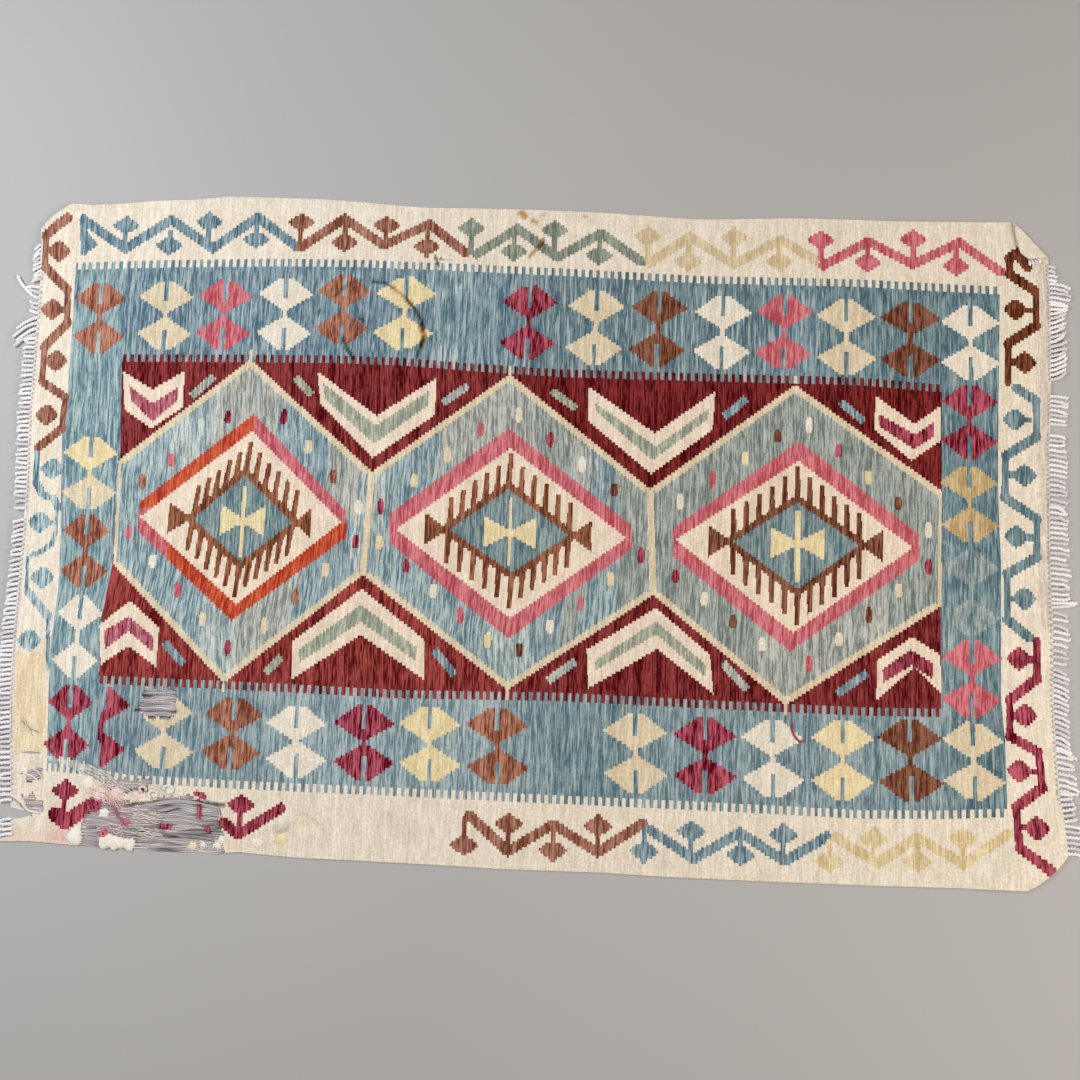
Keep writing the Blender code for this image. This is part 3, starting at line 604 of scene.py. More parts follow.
CURL_UNEVENNESS = 0.25
CURL_SQUASH = 0.75
CURL_LIFT = 0.6
CURL_PALENESS = 0.7
LOOSE_HEIGHT = 3.4
LOOSE_WAVE = 1.6
LOOSE_STEPS = 16
LOOSE_TAPER = [0.5] + [1] * (LOOSE_STEPS - 1) + [0.5]

# ---- fringe: stretches of like strands, as in the CAD model

Stretch = namedtuple("Stretch", "y_from y_to pitch length lean")
Strand = namedtuple("Strand", "y length lean")
LEFT_FRINGE = [
    Stretch(414, 372, 7.5, 11, -9), Stretch(366, 360, 8.0, 11, 5), Stretch(346, 338, 8.0, 17, 21),
    Stretch(329, 329, 8.0, 36, 33), Stretch(320, 306, 7.0, 12, 2), Stretch(298, 272, 8.5, 30, -20),
    Stretch(266, 16, 7.2, 16, -1), Stretch(5, 2, 9.0, 15, 0), Stretch(-12, -130, 7.2, 15, -5),
    Stretch(-130, -330, 7.0, 17, -3), Stretch(-330, -420, 7.2, 17, -2),
]
LEFT_CORNER_FRINGE = [Stretch(-447, -468, 6.5, 17, -3)]
RIGHT_FRINGE = [
    Stretch(421, 400, 8.0, 9, -3), Stretch(394, 366, 7.0, 28, -5), Stretch(362, 247, 7.2, 22, 9),
    Stretch(222, 180, 7.4, 23, -3), Stretch(163, 60, 7.4, 22, -4), Stretch(56, -78, 7.4, 24, -3),
    Stretch(-84, -90, 9.0, 36, 12), Stretch(-98, -170, 9.0, 21, -5), Stretch(-172, -290, 7.6, 20, -8),
    Stretch(-294, -350, 7.6, 25, -6), Stretch(-354, -392, 7.0, 17, 3), Stretch(-398, -436, 7.2, 27, -3),
]
FLAP_FRINGE_STRIP = [(716, 424.7), (735, 429.6)]
FLAP_STRANDS = 4
FLAP_STRAND_LENGTH = 6.5
LEAN_CURVE = 1.5
ROOT_SPACING = 3.7
STRAND_SPACING = 2.6
LENGTH_SPREAD = 0.16
LEAN_SPREAD = 1.6
LEAN_SEED = 3
NOISE_STEP = 0.73
NOISE_ROW = 7.1
NOISE_GAIN = 1.6
PLY_RADIUS = 1.8
PLY_OFFSET = 1.05
TWIST_PITCH = 9.0
SWAY = 1.3  # how far a strand wanders along its length
HOOK = 4.2  # how far the tip of a strand curls aside
RING_SIDES = 5
TIP_TAPER = 0.12  # how much thinner a ply is at its tip
ROOT_DEPTH = 2.5  # how far a strand starts inside the cloth
ROOT_LIFT = 0.3
FRINGE_STEP = 1.3
FEWEST_STEPS = 8
SHADE_SEED, SWAY_SEED, HOOK_SEED = 5, 11, 17
FLAP_STEPS = 6
FLAP_YARN = 0.8  # the flap's yarn is this much as thick
FLAP_SWAY = 0.4
FLAP_TOP = 2.6  # above the cloth's face at its roots
FLAP_DROP = 1.2  # and this much lower at its tips


# ---- small helpers


def linear(colour):
    """Screen colour from 0 to 255 as linear light."""
    share = np.asarray(colour, float) / 255
    return np.where(share <= 0.04045, share / 12.92, ((share + 0.055) / 1.055) ** 2.4)


def blend(dye, paleness):
    """Linear shade of a dye: 0 is its deep end and 1 its pale one."""
    return linear(DYES[dye].pale) * paleness + linear(DYES[dye].deep) * (1 - paleness)


def wander(index, seed):
    """An even, repeatable unevenness, mostly between -1 and 1."""
    return noise.noise(Vector((index * NOISE_STEP, seed * NOISE_ROW, NOISE_ROW))) * NOISE_GAIN


def smooth_step(t):
    t = np.clip(t, 0.0, 1.0)
    return t * t * (3 - 2 * t)


def to_metres(points):
    """Plan millimetres (x, y, z) as metres round the rug's middle."""
    points = np.asarray(points, float)
    return (points - np.array([*RUG_CENTRE, 0.0])) * MM


def hat_weights(values, knots):
    """Share of each knot at each value, for straight lines between knots."""
    return [np.interp(values, knots, np.eye(len(knots))[k]) for k in range(len(knots))]


def guide_sum(guides, weights, position, axis):
    """Blend of the guides' other coordinate at a position along them."""
    total = 0
    for guide, weight in zip(guides, weights):
        stations = sorted(guide, key=lambda s: s[axis])
        along = [s[axis] for s in stations]
        across = [s[1 - axis] for s in stations]
        total = total + weight * np.interp(position, along, across)
    return total


def laid(u, v):
    """Plan position of a woven position, found in a few rounds."""
    u, v = np.asarray(u, float), np.asarray(v, float)
    column_weights = hat_weights(u, COLUMN_WOVEN)
    row_weights = hat_weights(v, ROW_WOVEN)
    x, y = u, v
    for _ in range(LAID_ROUNDS):
        x = guide_sum(COLUMN_GUIDES, column_weights, y, 1)
        y = guide_sum(ROW_GUIDES, row_weights, x, 0)
    return x, y


# ---- the chart


U_LINES = np.linspace(COLUMN_WOVEN[0], COLUMN_WOVEN[-1], COLUMNS + 1)
V_LINES = np.linspace(ROW_WOVEN[0], ROW_WOVEN[-1], ROWS + 1)
U, V = np.meshgrid((U_LINES[:-1] + U_LINES[1:]) / 2, (V_LINES[:-1] + V_LINES[1:]) / 2)
X, Y = laid(U, V)
chart = np.full(U.shape, NAMES.index("cream"))


def paint(mask, dye):
    chart[mask] = NONE if dye is None else NAMES.index(dye)


def inside(points):
    """Cells inside a polygon."""
    mask = np.zeros(X.shape, bool)
    for (x0, y0), (x1, y1) in zip(points, [*points[1:], points[0]]):
        if y0 != y1:
            mask ^= ((Y > y0) != (Y > y1)) & (X < x0 + (Y - y0) * (x1 - x0) / (y1 - y0))
    return mask


def distance_to(points, closed=False, x=None, y=None):
    """Distance to a line through points."""
    x, y = (X, Y) if x is None else (x, y)
    ends = [*points, points[0]] if closed else points
    best = np.full(np.shape(x), np.inf)
    for (x0, y0), (x1, y1) in zip(ends, ends[1:]):
        dx, dy = x1 - x0, y1 - y0
        share = np.clip(((x - x0) * dx + (y - y0) * dy) / max(dx * dx + dy * dy, 1e-9), 0, 1)
        best = np.minimum(best, np.hypot(x - x0 - share * dx, y - y0 - share * dy))
    return best


def ragged(outline, fray):
    """Cells inside a polygon whose edge wanders by this much."""
    depth = np.where(inside(outline), 1, -1) * distance_to(outline, closed=True)
    return depth + fray > 0


def stroke(points, width):
    return distance_to(points) < width / 2


def bar(start, end, width):
    """Cells of a straight stroke with square ends."""
    along = Vector(end) - Vector(start)
    length = along.length
    reach = ((X - start[0]) * along.x + (Y - start[1]) * along.y) / length
    across = ((X - start[0]) * along.y - (Y - start[1]) * along.x) / length
    return (np.abs(across) < width / 2) & (reach > 0) & (reach < length)


def unevenness(u_grain, v_grain, seed):
    """Smooth noise over the chart, with grains of this size in millimetres."""
    rows, columns = V[::NOISE_SKIP, 0], U[0, ::NOISE_SKIP]
    coarse = np.array([
        [noise.noise(Vector((u / u_grain, v / v_grain, seed))) for u in columns] for v in rows
    ])
    full = np.repeat(np.repeat(coarse, NOISE_SKIP, axis=0), NOISE_SKIP, axis=1)
    return full[:ROWS, :COLUMNS]


def lot_at(lots, default):
    """The dye lot of each cell by its place along the rug, as chart numbers."""
    found = np.full(X.shape, NAMES.index(default))
    x = X + LOT_WANDER * sum(unevenness(*grain) for grain in LOT_GRAINS)
    for lot in lots:
        within = (x >= lot.x_from) & (x < lot.x_to)
        found[within & (Y >= 0)] = NAMES.index(lot.upper)
        found[within & (Y < 0)] = NAMES.index(lot.lower)
    return found


def weave_grounds():
    """Cream border, blue border and red field, with toothed joins along the warps."""
    tooth = (U / TOOTH_PITCH) % 1 < 0.5
    blue_low, blue_high = ROW_WOVEN[1], ROW_WOVEN[4]
    red_low, red_high = ROW_WOVEN[2], ROW_WOVEN[3]
    reach_in = np.where(tooth, TOOTH_REACH, -TOOTH_REACH)
    blue = (V > blue_low + reach_in) & (V < blue_high - reach_in)
    blue &= (U > COLUMN_WOVEN[1]) & (U < COLUMN_WOVEN[4])
    lots = lot_at(BORDER_LOTS, "blue")
    chart[blue] = lots[blue]
    red = (V > red_low - reach_in) & (V < red_high + reach_in)
    red &= (U > COLUMN_WOVEN[2]) & (U < COLUMN_WOVEN[3])
    lots = lot_at(RED_LOTS, "red")
    chart[red] = lots[red]


def weave_hourglass(glass):
    """Two diamonds tip to tip, each with a slot; a second dye is the lower diamond's."""
    upper_dye, lower_dye = glass.dyes.split()[0], glass.dyes.split()[-1]
    halves = ((glass.x_upper, glass.y_upper, 1, upper_dye), (glass.x_lower, glass.y_lower, -1, lower_dye))
    for x, y, out, dye in halves:
        rise = (Y - y) * out
        slope = np.where(rise > 0, GLASS_OUTER_SLOPE, GLASS_INNER_SLOPE)
        half = glass.width * (1 - np.abs(rise) / slope)
        body = (np.abs(X - x) < half) & (rise < GLASS_CUT)
        slot = (np.abs(X - x) < SLOT_WIDTH / 2) & (rise > -SLOT_PAST_MIDDLE)
        if glass is HALF_WOVEN:
            body &= X > x
        paint(body & ~slot, dye)
    between = (Y < glass.y_upper) & (Y > glass.y_lower)
    share = (Y - glass.y_lower) / (glass.y_upper - glass.y_lower)
    middle = glass.x_lower + (glass.x_upper - glass.x_lower) * share
    past = np.minimum(glass.y_upper - Y, Y - glass.y_lower) > SLOT_PAST_MIDDLE + GLASS_NECK
    paint(between & past & (np.abs(X - middle) < GLASS_NECK), upper_dye)


def weave_band(medallion):
    """The banded diamond: each quarter in its own dye."""
    outline = medallion.band
    band = inside(outline)
    top_x, side_y = outline[0][0], (outline[1][1] + outline[2][1]) / 2
    quarters = (
        (X < top_x) & (Y >= side_y), (X >= top_x) & (Y >= side_y),
        (X >= top_x) & (Y < side_y), (X < top_x) & (Y < side_y),
    )
    for quarter, dye in zip(quarters, medallion.band_dyes):
        paint(band & quarter, dye)
    x0, y1, x1, y0 = PINK_LEFT_TIP
    paint(band & (X > x0) & (X < x1) & (Y > y0) & (Y < y1), "pink")
    paint(inside(medallion.cream), "rosy_ivory")


def weave_core(medallion):
    """The comb of teeth round a blue diamond, its fishtails and its bow."""
    top, right, bottom, left = medallion.core
    middle_x, middle_y = (top[0] + bottom[0]) / 2, (left[1] + right[1]) / 2
    core = inside(medallion.core)
    for step in range(-TEETH, TEETH + 1):
        side = right if step > 0 else left
        share = abs(step) / TEETH
        length = TOOTH_LENGTH if step else APEX_LENGTH
        for end, out in ((top, 1), (bottom, -1)):
            root_x = end[0] + (side[0] - end[0]) * share
            root_y = end[1] + (side[1] - end[1]) * share
            reach = (Y - root_y) * out
            width = TOOTH_WIDTH + (TOOTH_TIP_WIDTH - TOOTH_WIDTH) * reach / length
            off = np.abs(X - root_x - medallion.lean * (Y - root_y))
            paint((off < width / 2) & (reach > 0) & (reach < length), medallion.comb)
    neck, neck_length = TAIL_NECK
    for side, out, tail in ((left, -1, medallion.tails[0]), (right, 1, medallion.tails[1])):
        reach = (X - side[0]) * out
        flare = np.clip((reach - neck_length) / (tail - neck_length), 0, 1)
        half = neck + (TAIL_HALF - neck) * flare
        paint((reach > 0) & (reach < tail) & (np.abs(Y - side[1]) < half), medallion.comb)
    paint(distance_to(medallion.core, closed=True) < RING_WIDTH, medallion.comb)
    paint(core, "core_blue")
    reach = np.abs(X - middle_x)
    bar = (reach < medallion.bar) & (Y < top[1] - BAR_GAPS[0]) & (Y > bottom[1] + BAR_GAPS[1])
    waist, waist_reach = BOW_WAIST
    flare = np.clip((reach - waist_reach) / (medallion.bow - waist_reach), 0, 1)
    bow = (reach < medallion.bow) & (np.abs(Y - middle_y) < waist + (BOW_HALF - waist) * flare)
    paint(core & (bar | bow), "yellow")


def weave_medallions():
    fills = lot_at(FIELD_LOTS, "slate")
    for medallion in MEDALLIONS:
        area = inside(medallion.outline)
        edge = distance_to(medallion.outline, closed=True)
        walls = [medallion.outline[1:3], medallion.outline[4:6]]
        wall = np.minimum(*[distance_to(points) for points in walls])
        slant = area & (edge < OUTLINE_WIDTH) & (edge < wall - 1e-6)
        chart[area] = fills[area]
        paint(slant | (area & (wall < WALL_WIDTH)), "tan")
        for (x, y), out in ((medallion.outline[0], 1), (medallion.outline[3], -1)):
            tick = (np.abs(X - x) < TICK[0] / 2) & (np.abs(Y - y - out * TICK[1] / 2) < TICK[1] / 2)
            paint(tick, "tan")
    for row in SPOT_ROWS:
        dyes = row.dyes.split()
        for place, dye in enumerate(dyes):
            share = place / (len(dyes) - 1)
            x = row.x_from + (row.x_to - row.x_from) * share
            y = row.y_from + (row.y_to - row.y_from) * share
            if dye != ".":
                across, along = np.abs(X - x) / SPOT_HALF[0], np.abs(Y - y) / SPOT_HALF[1]
                paint((across < 1) & (along < 1) & (across + along < SPOT_CORNER), dye)
    for medallion in MEDALLIONS:
        weave_band(medallion)
        weave_core(medallion)


def weave_flower(flower, dye):
    fx, fy = flower.facing
    half = FLOWER_HALF if fy else SIDE_FLOWER_HALF
    dx, dy = X - flower.x, Y - flower.y
    rounded = [np.abs(d / h) ** FLOWER_ROUNDNESS for d, h in zip((dx, dy), half)]
    body = rounded[0] + rounded[1] < 1
    outward = dx * fx + dy * fy
    across = np.abs(dx * fy) + np.abs(dy * fx)
    knob = (across < KNOB[0]) & (outward > 0) & (outward < KNOB[1])
    stem_width = STEM_WIDTHS[0] if fy else STEM_WIDTHS[1]
    stem = (across < stem_width / 2) & (outward < 0) & (outward > -flower.stem)
    paint(body | knob | stem, dye)


def weave_vine(vine):
    for start, end in zip(vine.line, vine.line[1:]):
        dx, dy = end[0] - start[0], end[1] - start[1]
        slant = 2 * abs(dx * dy) / (dx * dx + dy * dy)
        paint(stroke([start, end], vine.width * (1 + SLANT_GAIN * slant)), vine.dye)


def weave_borders():
    for vine in VINES:
        weave_vine(vine)
        for flower in vine.flowers:
            weave_flower(flower, vine.dye)
    start, end, width = FIRST_BAR
    paint(stroke([start, end], width) | inside(FIRST_FOOT), "blue")


def wear_weave(fray):
    """Takes the weft out of the bare places, then puts back what is left of it."""
    for outline in BARE_PLACES:
        paint(ragged(outline, fray), None)
    for bit in REMNANTS:
        paint(stroke([(bit.x_from, bit.y_from), (bit.x_to, bit.y_to)], bit.width), bit.dye)


def weave_chart():
    fray = FRAY * unevenness(*FRAY_GRAIN)
    weave_grounds()
    for glass in HOURGLASSES:
        weave_hourglass(glass)
    for chevron in CHEVRONS:
        paint(inside(chevron.outline), "rosy_ivory")
        paint(inside(chevron.core), chevron.dye)
    for dash in DASHES:
        paint(bar((dash.x_from, dash.y_from), (dash.x_to, dash.y_to), DASH_WIDTH), dash.dye)
    weave_medallions()
    for patch in PATCHES:
        paint(ragged(patch.outline, fray), patch.dye)
    paint(U < COLUMN_WOVEN[0] + SELVEDGE_WIDTH, "selvedge")
    weave_borders()
    wear_weave(fray)


# ---- the cloth


def fold_axes(fold):
    """Start of a fold's bend, its direction, and the way out over its corner."""
    edge = Vector(fold.start)
    along = (Vector(fold.end) - edge).normalized()
    outward = Vector((along.y, -along.x))
    if outward.dot(edge) < 0:
        outward = -outward
    return edge - outward * (BEND_RADIUS + CLOTH_THICKNESS / 2), along, outward


def fold_length(fold):
    return (Vector(fold.end) - Vector(fold.start)).length


def fold_cuts(fold):
    """Distances from the fold line at which the cloth is cut so that it can bend there."""
    bend = [math.pi * BEND_RADIUS * step / BEND_STEPS for step in range(BEND_STEPS + 1)]
    if fold.over:
        return [-BOW_FADE, -BOW_FADE / 2, *bend]
    ramp = [-fold.depth - RAMP_LENGTH * step / RAMP_STEPS for step in range(RAMP_STEPS, -1, -1)]
    return [*ramp, -BOW_FADE / 2, *bend]


def bend_point(fold, distance):
    """(out, height, tilt) of the cloth's middle surface at a distance past the fold line."""
    middle = CLOTH_THICKNESS / 2
    turn = math.pi * BEND_RADIUS
    angle = min(max(distance / BEND_RADIUS, 0.0), math.pi)
    out = min(distance, 0.0) + BEND_RADIUS * math.sin(angle) - max(distance - turn, 0.0)
    swing = BEND_RADIUS * (1 - math.cos(angle))
    if fold.over:
        return out, middle + swing + max(distance - turn, 0.0) * FLAP_SPRING, angle
    climb = smooth_step((distance + fold.depth + RAMP_LENGTH) / RAMP_LENGTH)
    return out, middle + 2 * BEND_RADIUS * climb - swing, -angle


def wave_at(point):
    """Rise of the laid cloth over its slight waves, none near a fold."""
    near = min((point - (Vector(f.start) + Vector(f.end)) / 2).length for f in FOLDS)
    calm = float(smooth_step((near - WAVE_FADE[0]) / (WAVE_FADE[1] - WAVE_FADE[0])))
    place = Vector((point.x / WAVE_LENGTH, point.y / WAVE_LENGTH / WAVE_STRETCH, WAVE_SEED))
    swell = noise.noise(place)
    return WAVE_HEIGHT * calm * (WAVE_MIDDLE + swell)


def folded(point, layer):
    """Where a plan point of the flat cloth goes; layer is 1 on its face and -1 on its back."""
    for fold in FOLDS:
        start, along, outward = fold_axes(fold)
        distance = (point - start).dot(outward)
        reach = (point - start).dot(along)
        length = fold_length(fold)
        if distance < fold_cuts(fold)[0] or not -length < reach < 2 * length:
            continue
        out, height, tilt = bend_point(fold, distance)
        bow = fold.bow * max(1 - (2 * reach / length - 1) ** 2, 0.0)
        bow *= float(smooth_step(1 + min(distance, 0.0) / BOW_FADE))
        half = layer * CLOTH_THICKNESS / 2
        plan = start + along * reach + outward * (out + bow - half * math.sin(tilt))
        return (plan.x, plan.y, height + half * math.cos(tilt))
    rise = max(wave_at(point), 0.0)
    return (point.x, point.y, (1 + layer) * CLOTH_THICKNESS / 2 + rise)


def give_way(u, v, x, y, side=0):
    """Plan y of a point beside the slits; side tells a slit's upper lip from its lower one."""
    y = np.array(y, float)
    for slit, row in zip(SLITS, SLIT_ROWS):
        share = (x - slit.x_start) / (slit.x_end - slit.x_start)
        bulge = np.where((share > 0) & (share < 1), 4 * share * (1 - share), 0.0)
        rows_off = v - V_LINES[row]
        way = np.sign(rows_off) + side * (np.abs(rows_off) < 0.1)
        middle = slit.y_start + (slit.y_end - slit.y_start) * share + slit.arch * bulge
        base = laid(u, np.full(np.shape(u), V_LINES[row]))[1]
        shift = (middle - base) + way * slit.width / 2
        y += shift * bulge * np.exp(-np.abs(rows_off) / SLIT_FADE)
    return y


def slit_row(slit):
    """The woven line nearest to a slit's middle."""
    x, y = (slit.x_start + slit.x_end) / 2, (slit.y_start + slit.y_end) / 2
    column = np.abs(X[ROWS // 2] - max(x, X[ROWS // 2, 0])).argmin()
    lines = laid(np.full(ROWS + 1, U_LINES[column]), V_LINES)[1]
    return int(np.abs(lines - y).argmin())


def stained_and_shaded_cells():
    """Cells where a stain or painted shade lies, which need short runs."""
    fine = np.zeros(X.shape, bool)
    for mark in STAINS_AND_SHADES:
        fine |= distance_to(mark.points) < mark.width / 2 + mark.edge * 2
    return fine


def run_breaks(row, fine):
    """Where the runs of a row start and end."""
    changes = np.flatnonzero(np.diff(chart[row])) + 1
    spots = np.flatnonzero(fine[row])
    short = spots[spots % FINE == 0]
    return sorted({0, COLUMNS, *range(0, COLUMNS, COARSE), *changes.tolist(), *short.tolist()})


def flat_weave():
    """The unfolded cloth in plan: a face for every run, with its dye and woven place."""
    fine = stained_and_shaded_cells()
    breaks = [run_breaks(row, fine) for row in range(ROWS)]
    split = {}
    for slit, row in zip(SLITS, SLIT_ROWS):
        line_x = laid(U_LINES, np.full(COLUMNS + 1, V_LINES[row]))[0]
        split.setdefault(row, set()).update(
            np.flatnonzero((line_x > slit.x_start) & (line_x < slit.x_end)).tolist()
        )
    lines = [sorted({*(breaks[line - 1] if line else []), *(breaks[line] if line < ROWS else [])})
             for line in range(ROWS + 1)]
    index, places, faces, dyes = {}, [], [], []

    def corner(line, column, lip):
        key = (line, column, lip if column in split.get(line, ()) else 0)
        if key not in index:
            index[key] = len(places)
            places.append(key)
        return index[key]

    for row in range(ROWS):
        for start, end in zip(breaks[row], breaks[row][1:]):
            dye = chart[row, start]
            if dye == NONE:
                continue
            low = [corner(row, c, 1) for c in lines[row] if start <= c <= end]
            high = [corner(row + 1, c, -1) for c in lines[row + 1] if start <= c <= end]
            faces.append(low + high[::-1])
            dyes.append(dye)

    rows, columns, lips = np.array(places).T
    u, v = U_LINES[columns], V_LINES[rows]
    x, y = laid(u, v)
    y = give_way(u, v, x, y, lips)
    plan = bmesh.new()
    woven = plan.verts.layers.float_vector.new("woven")
    dyed = plan.faces.layers.int.new("dyed")
    corners = []
    for values in zip(x, y, u, v):
        vert = plan.verts.new((values[0], values[1], 0))
        vert[woven] = Vector((values[2], values[3], 0))
        corners.append(vert)
    for points, dye in zip(faces, dyes):
        face = plan.faces.new([corners[i] for i in points])
        face[dyed] = dye
    return plan, woven, dyed


def runs_at_fold(plan, fold):
    """Runs that reach into the stretch where the cloth bends."""
    start, along, outward = fold_axes(fold)
    length = fold_length(fold)
    middle = start + along * length / 2
    first = fold_cuts(fold)[0] - 1
    return {f for f in plan.faces if (f.calc_center_median().xy - middle).length < 2 * length
            and any((v.co.xy - start).dot(outward) > first for v in f.verts)}


def cut_at_folds(plan):
    """Cuts the runs near each fold so that they can bend there."""
    for fold in FOLDS:
        start, along, outward = fold_axes(fold)
        length = fold_length(fold)
        cuts = [(start + outward * d, outward) for d in fold_cuts(fold)]
        cuts += [(start + along * length * span / FOLD_SPANS, along) for span in range(FOLD_SPANS + 1)]
        for point, normal in cuts:
            near = runs_at_fold(plan, fold)
            parts = {e for f in near for e in f.edges} | {v for f in near for v in f.verts}
            bmesh.ops.bisect_plane(
                plan, geom=[*near, *parts], dist=1e-4, plane_co=(*point, 0), plane_no=(*normal, 0),
            )


def soil_and_shade_at(x, y):
    """Colour left of the wool under stains and painted shade, at plan points."""
    left = np.ones((len(x), 3))
    for mark in STAINS_AND_SHADES:
        away = distance_to(mark.points, x=x, y=y)
        share = mark.strength * (1 - smooth_step((away - mark.width / 2) / mark.edge + 0.5))
        left *= 1 - share[:, None] * (1 - np.array(mark.tint))
    return left


def set_attribute(mesh, name, kind, domain, values):
    attribute = mesh.attributes.new(name, kind, domain)
    field = "color" if kind == "FLOAT_COLOR" else "vector" if kind == "FLOAT_VECTOR" else "value"
    attribute.data.foreach_set(field, np.ascontiguousarray(values, np.float32).ravel())


def with_alpha(colours):
    return np.column_stack([colours, np.ones(len(colours))])


def make_cloth():
    """Face and back of every run, joined all round by their edges, as one closed sheet."""
    plan, woven, dyed = flat_weave()
    cut_at_folds(plan)
    plan.verts.index_update()
    count = len(plan.verts)
    plan_points = [v.co.xy.copy() for v in plan.verts]
    place = np.array([v[woven].xy for v in plan.verts])
    points = [folded(p, 1) for p in plan_points] + [folded(p, -1) for p in plan_points]
    faces, dyes = [], []
    for face in plan.faces:
        corners = [v.index for v in face.verts]
        faces += [corners, [i + count for i in reversed(corners)]]
        dyes += [face[dyed]] * 2
        for loop in face.loops:
            if loop.edge.is_boundary:
                a, b = loop.vert.index, loop.link_loop_next.vert.index
                faces.append([b, a, a + count, b + count])
                dyes.append(face[dyed])
    plan.free()
    mesh = bpy.data.meshes.new("kilim_cloth")
    mesh.from_pydata(to_metres(points), [], faces)
    deep = np.array([linear(DYES[name].deep) for name in NAMES])[dyes]
    pale = np.array([linear(DYES[name].pale) for name in NAMES])[dyes]
    flecks = np.array([DYES[name].flecks for name in NAMES])[dyes]
    set_attribute(mesh, "deep", "FLOAT_COLOR", "FACE", with_alpha(deep))
    set_attribute(mesh, "pale", "FLOAT_COLOR", "FACE", with_alpha(pale))
    set_attribute(mesh, "flecks", "FLOAT", "FACE", flecks)
    # the soil colour darkens the cloth under stains and under painted shade
    flat = np.array(plan_points)
    soil_and_shade = with_alpha(soil_and_shade_at(flat[:, 0], flat[:, 1]))
    set_attribute(mesh, "soil_and_shade", "FLOAT_COLOR", "POINT", np.vstack([soil_and_shade, soil_and_shade]))
    layer = mesh.uv_layers.new(name="woven")
    loops = np.zeros(len(mesh.loops), np.int32)
    mesh.loops.foreach_get("vertex_index", loops)
    layer.uv.foreach_set("vector", (place[loops % count] * MM).astype(np.float32).ravel())
    mesh.polygons.foreach_set("use_smooth", np.ones(len(mesh.polygons), bool))
    mesh.set_sharp_from_angle(angle=math.radians(SHARP_ANGLE))
    mesh.validate()
    return add_object("kilim_cloth", mesh)


def add_object(name, mesh):
    thing = bpy.data.objects.new(name, mesh)
    bpy.context.scene.collection.objects.link(thing)
    return thing


# ---- yarns


def ring_axes(path, i):
    """Sideways and upward directions of the ring round a path's point."""
    heading = (path[min(i + 1, len(path) - 1)] - path[max(i - 1, 0)]).normalized()
    across = heading.cross(Vector((0, 0, 1)))
    across = across.normalized() if across.length > 1e-6 else Vector((1, 0, 0))
    return across, across.cross(heading)


class Yarns:
    """Tubes gathered into one mesh, each with its own shade."""

    def __init__(self):
        self.points, self.faces, self.shades = [], [], []

    def tube(self, path, radii, shade, sides=RING_SIDES):
        """A closed tube along a path, with a radius and perhaps a shade at each of its points."""
        path = [Vector(p) for p in path]
        shades = np.broadcast_to(shade, (len(path), 3))
        first = len(self.points)
        for i, point in enumerate(path):
            across, up = ring_axes(path, i)
            for side in range(sides):
                turn = 2 * math.pi * side / sides
                self.points.append(point + radii[i] * (across * math.cos(turn) + up * math.sin(turn)))
        rings = len(path)
        for ring in range(rings - 1):
            a = first + ring * sides
            for side in range(sides):
                b = (side + 1) % sides
                self.faces.append([a + side, a + sides + side, a + sides + b, a + b])
            self.shades += [shades[ring]] * sides
        self.faces.append([first + side for side in range(sides)])
        last = first + (rings - 1) * sides
        self.faces.append([last + side for side in reversed(range(sides))])
        self.shades += [shades[0], shades[-1]]

    def mound(self, foot, size, seed, shade):
        """A soft lump with a lobed outline, closed below."""
        rings, sides = TUFT_SPAN
        first = len(self.points)
        for ring in range(rings):
            share = 1 - ring / rings
            for side in range(sides):
                turn = 2 * math.pi * side / sides
                way = Vector((math.cos(turn), math.sin(turn), 0))
                lobes = 1.0
                for ragged_by, closeness in zip(TUFT_RAGGED, TUFT_LOBES):
                    lobes += ragged_by * noise.noise(way * closeness + Vector((0, 0, seed)))
                lumps = noise.noise(way * TUFT_LUMPS + Vector((0, share * TUFT_LUMPS, seed)))
                rise = math.sqrt(1 - share ** 2) * (1 + TUFT_LUMP_RISE * lumps)
                height = Vector((0, 0, rise * size * TUFT_HEIGHT))
                self.points.append(foot + way * share * lobes * size / 2 + height)
        self.points.append(foot + Vector((0, 0, size * TUFT_HEIGHT)))
        top = len(self.points) - 1
        before = len(self.faces)
        self.faces.append([first + side for side in reversed(range(sides))])
        for ring in range(rings - 1):
            a = first + ring * sides
            for side in range(sides):
                b = (side + 1) % sides
                self.faces.append([a + side, a + b, a + sides + b, a + sides + side])
        last = first + (rings - 1) * sides
        self.faces += [[last + side, last + (side + 1) % sides, top] for side in range(sides)]
        self.shades += [shade] * (len(self.faces) - before)

    def twisted(self, path, radius, offset, pitch, shade):
        """Two plies wound round each other along a path."""
        for ply in (0, math.pi):
            wound = []
            length = 0.0
            for i, point in enumerate(path):
                length += (point - path[i - 1]).length if i else 0.0
                across, up = ring_axes(path, i)
                turn = 2 * math.pi * length / pitch + ply
                wound.append(point + offset * (across * math.cos(turn) + up * math.sin(turn)))
            radii = [radius * (1 - TIP_TAPER * (i / (len(path) - 1)) ** 3) for i in range(len(path))]
            self.tube(wound, radii, shade)

    def build(self, name):
        mesh = bpy.data.meshes.new(name)
        mesh.from_pydata(to_metres([tuple(p) for p in self.points]), [], self.faces)
        set_attribute(mesh, "shade", "FLOAT_COLOR", "FACE", with_alpha(np.array(self.shades)))
        mesh.polygons.foreach_set("use_smooth", np.ones(len(mesh.polygons), bool))
        mesh.validate()
        return add_object(name, mesh)


FRINGE_SHADES = [linear(c) for c in ((249, 248, 250), (240, 239, 243), (226, 224, 230), (252, 249, 248))]
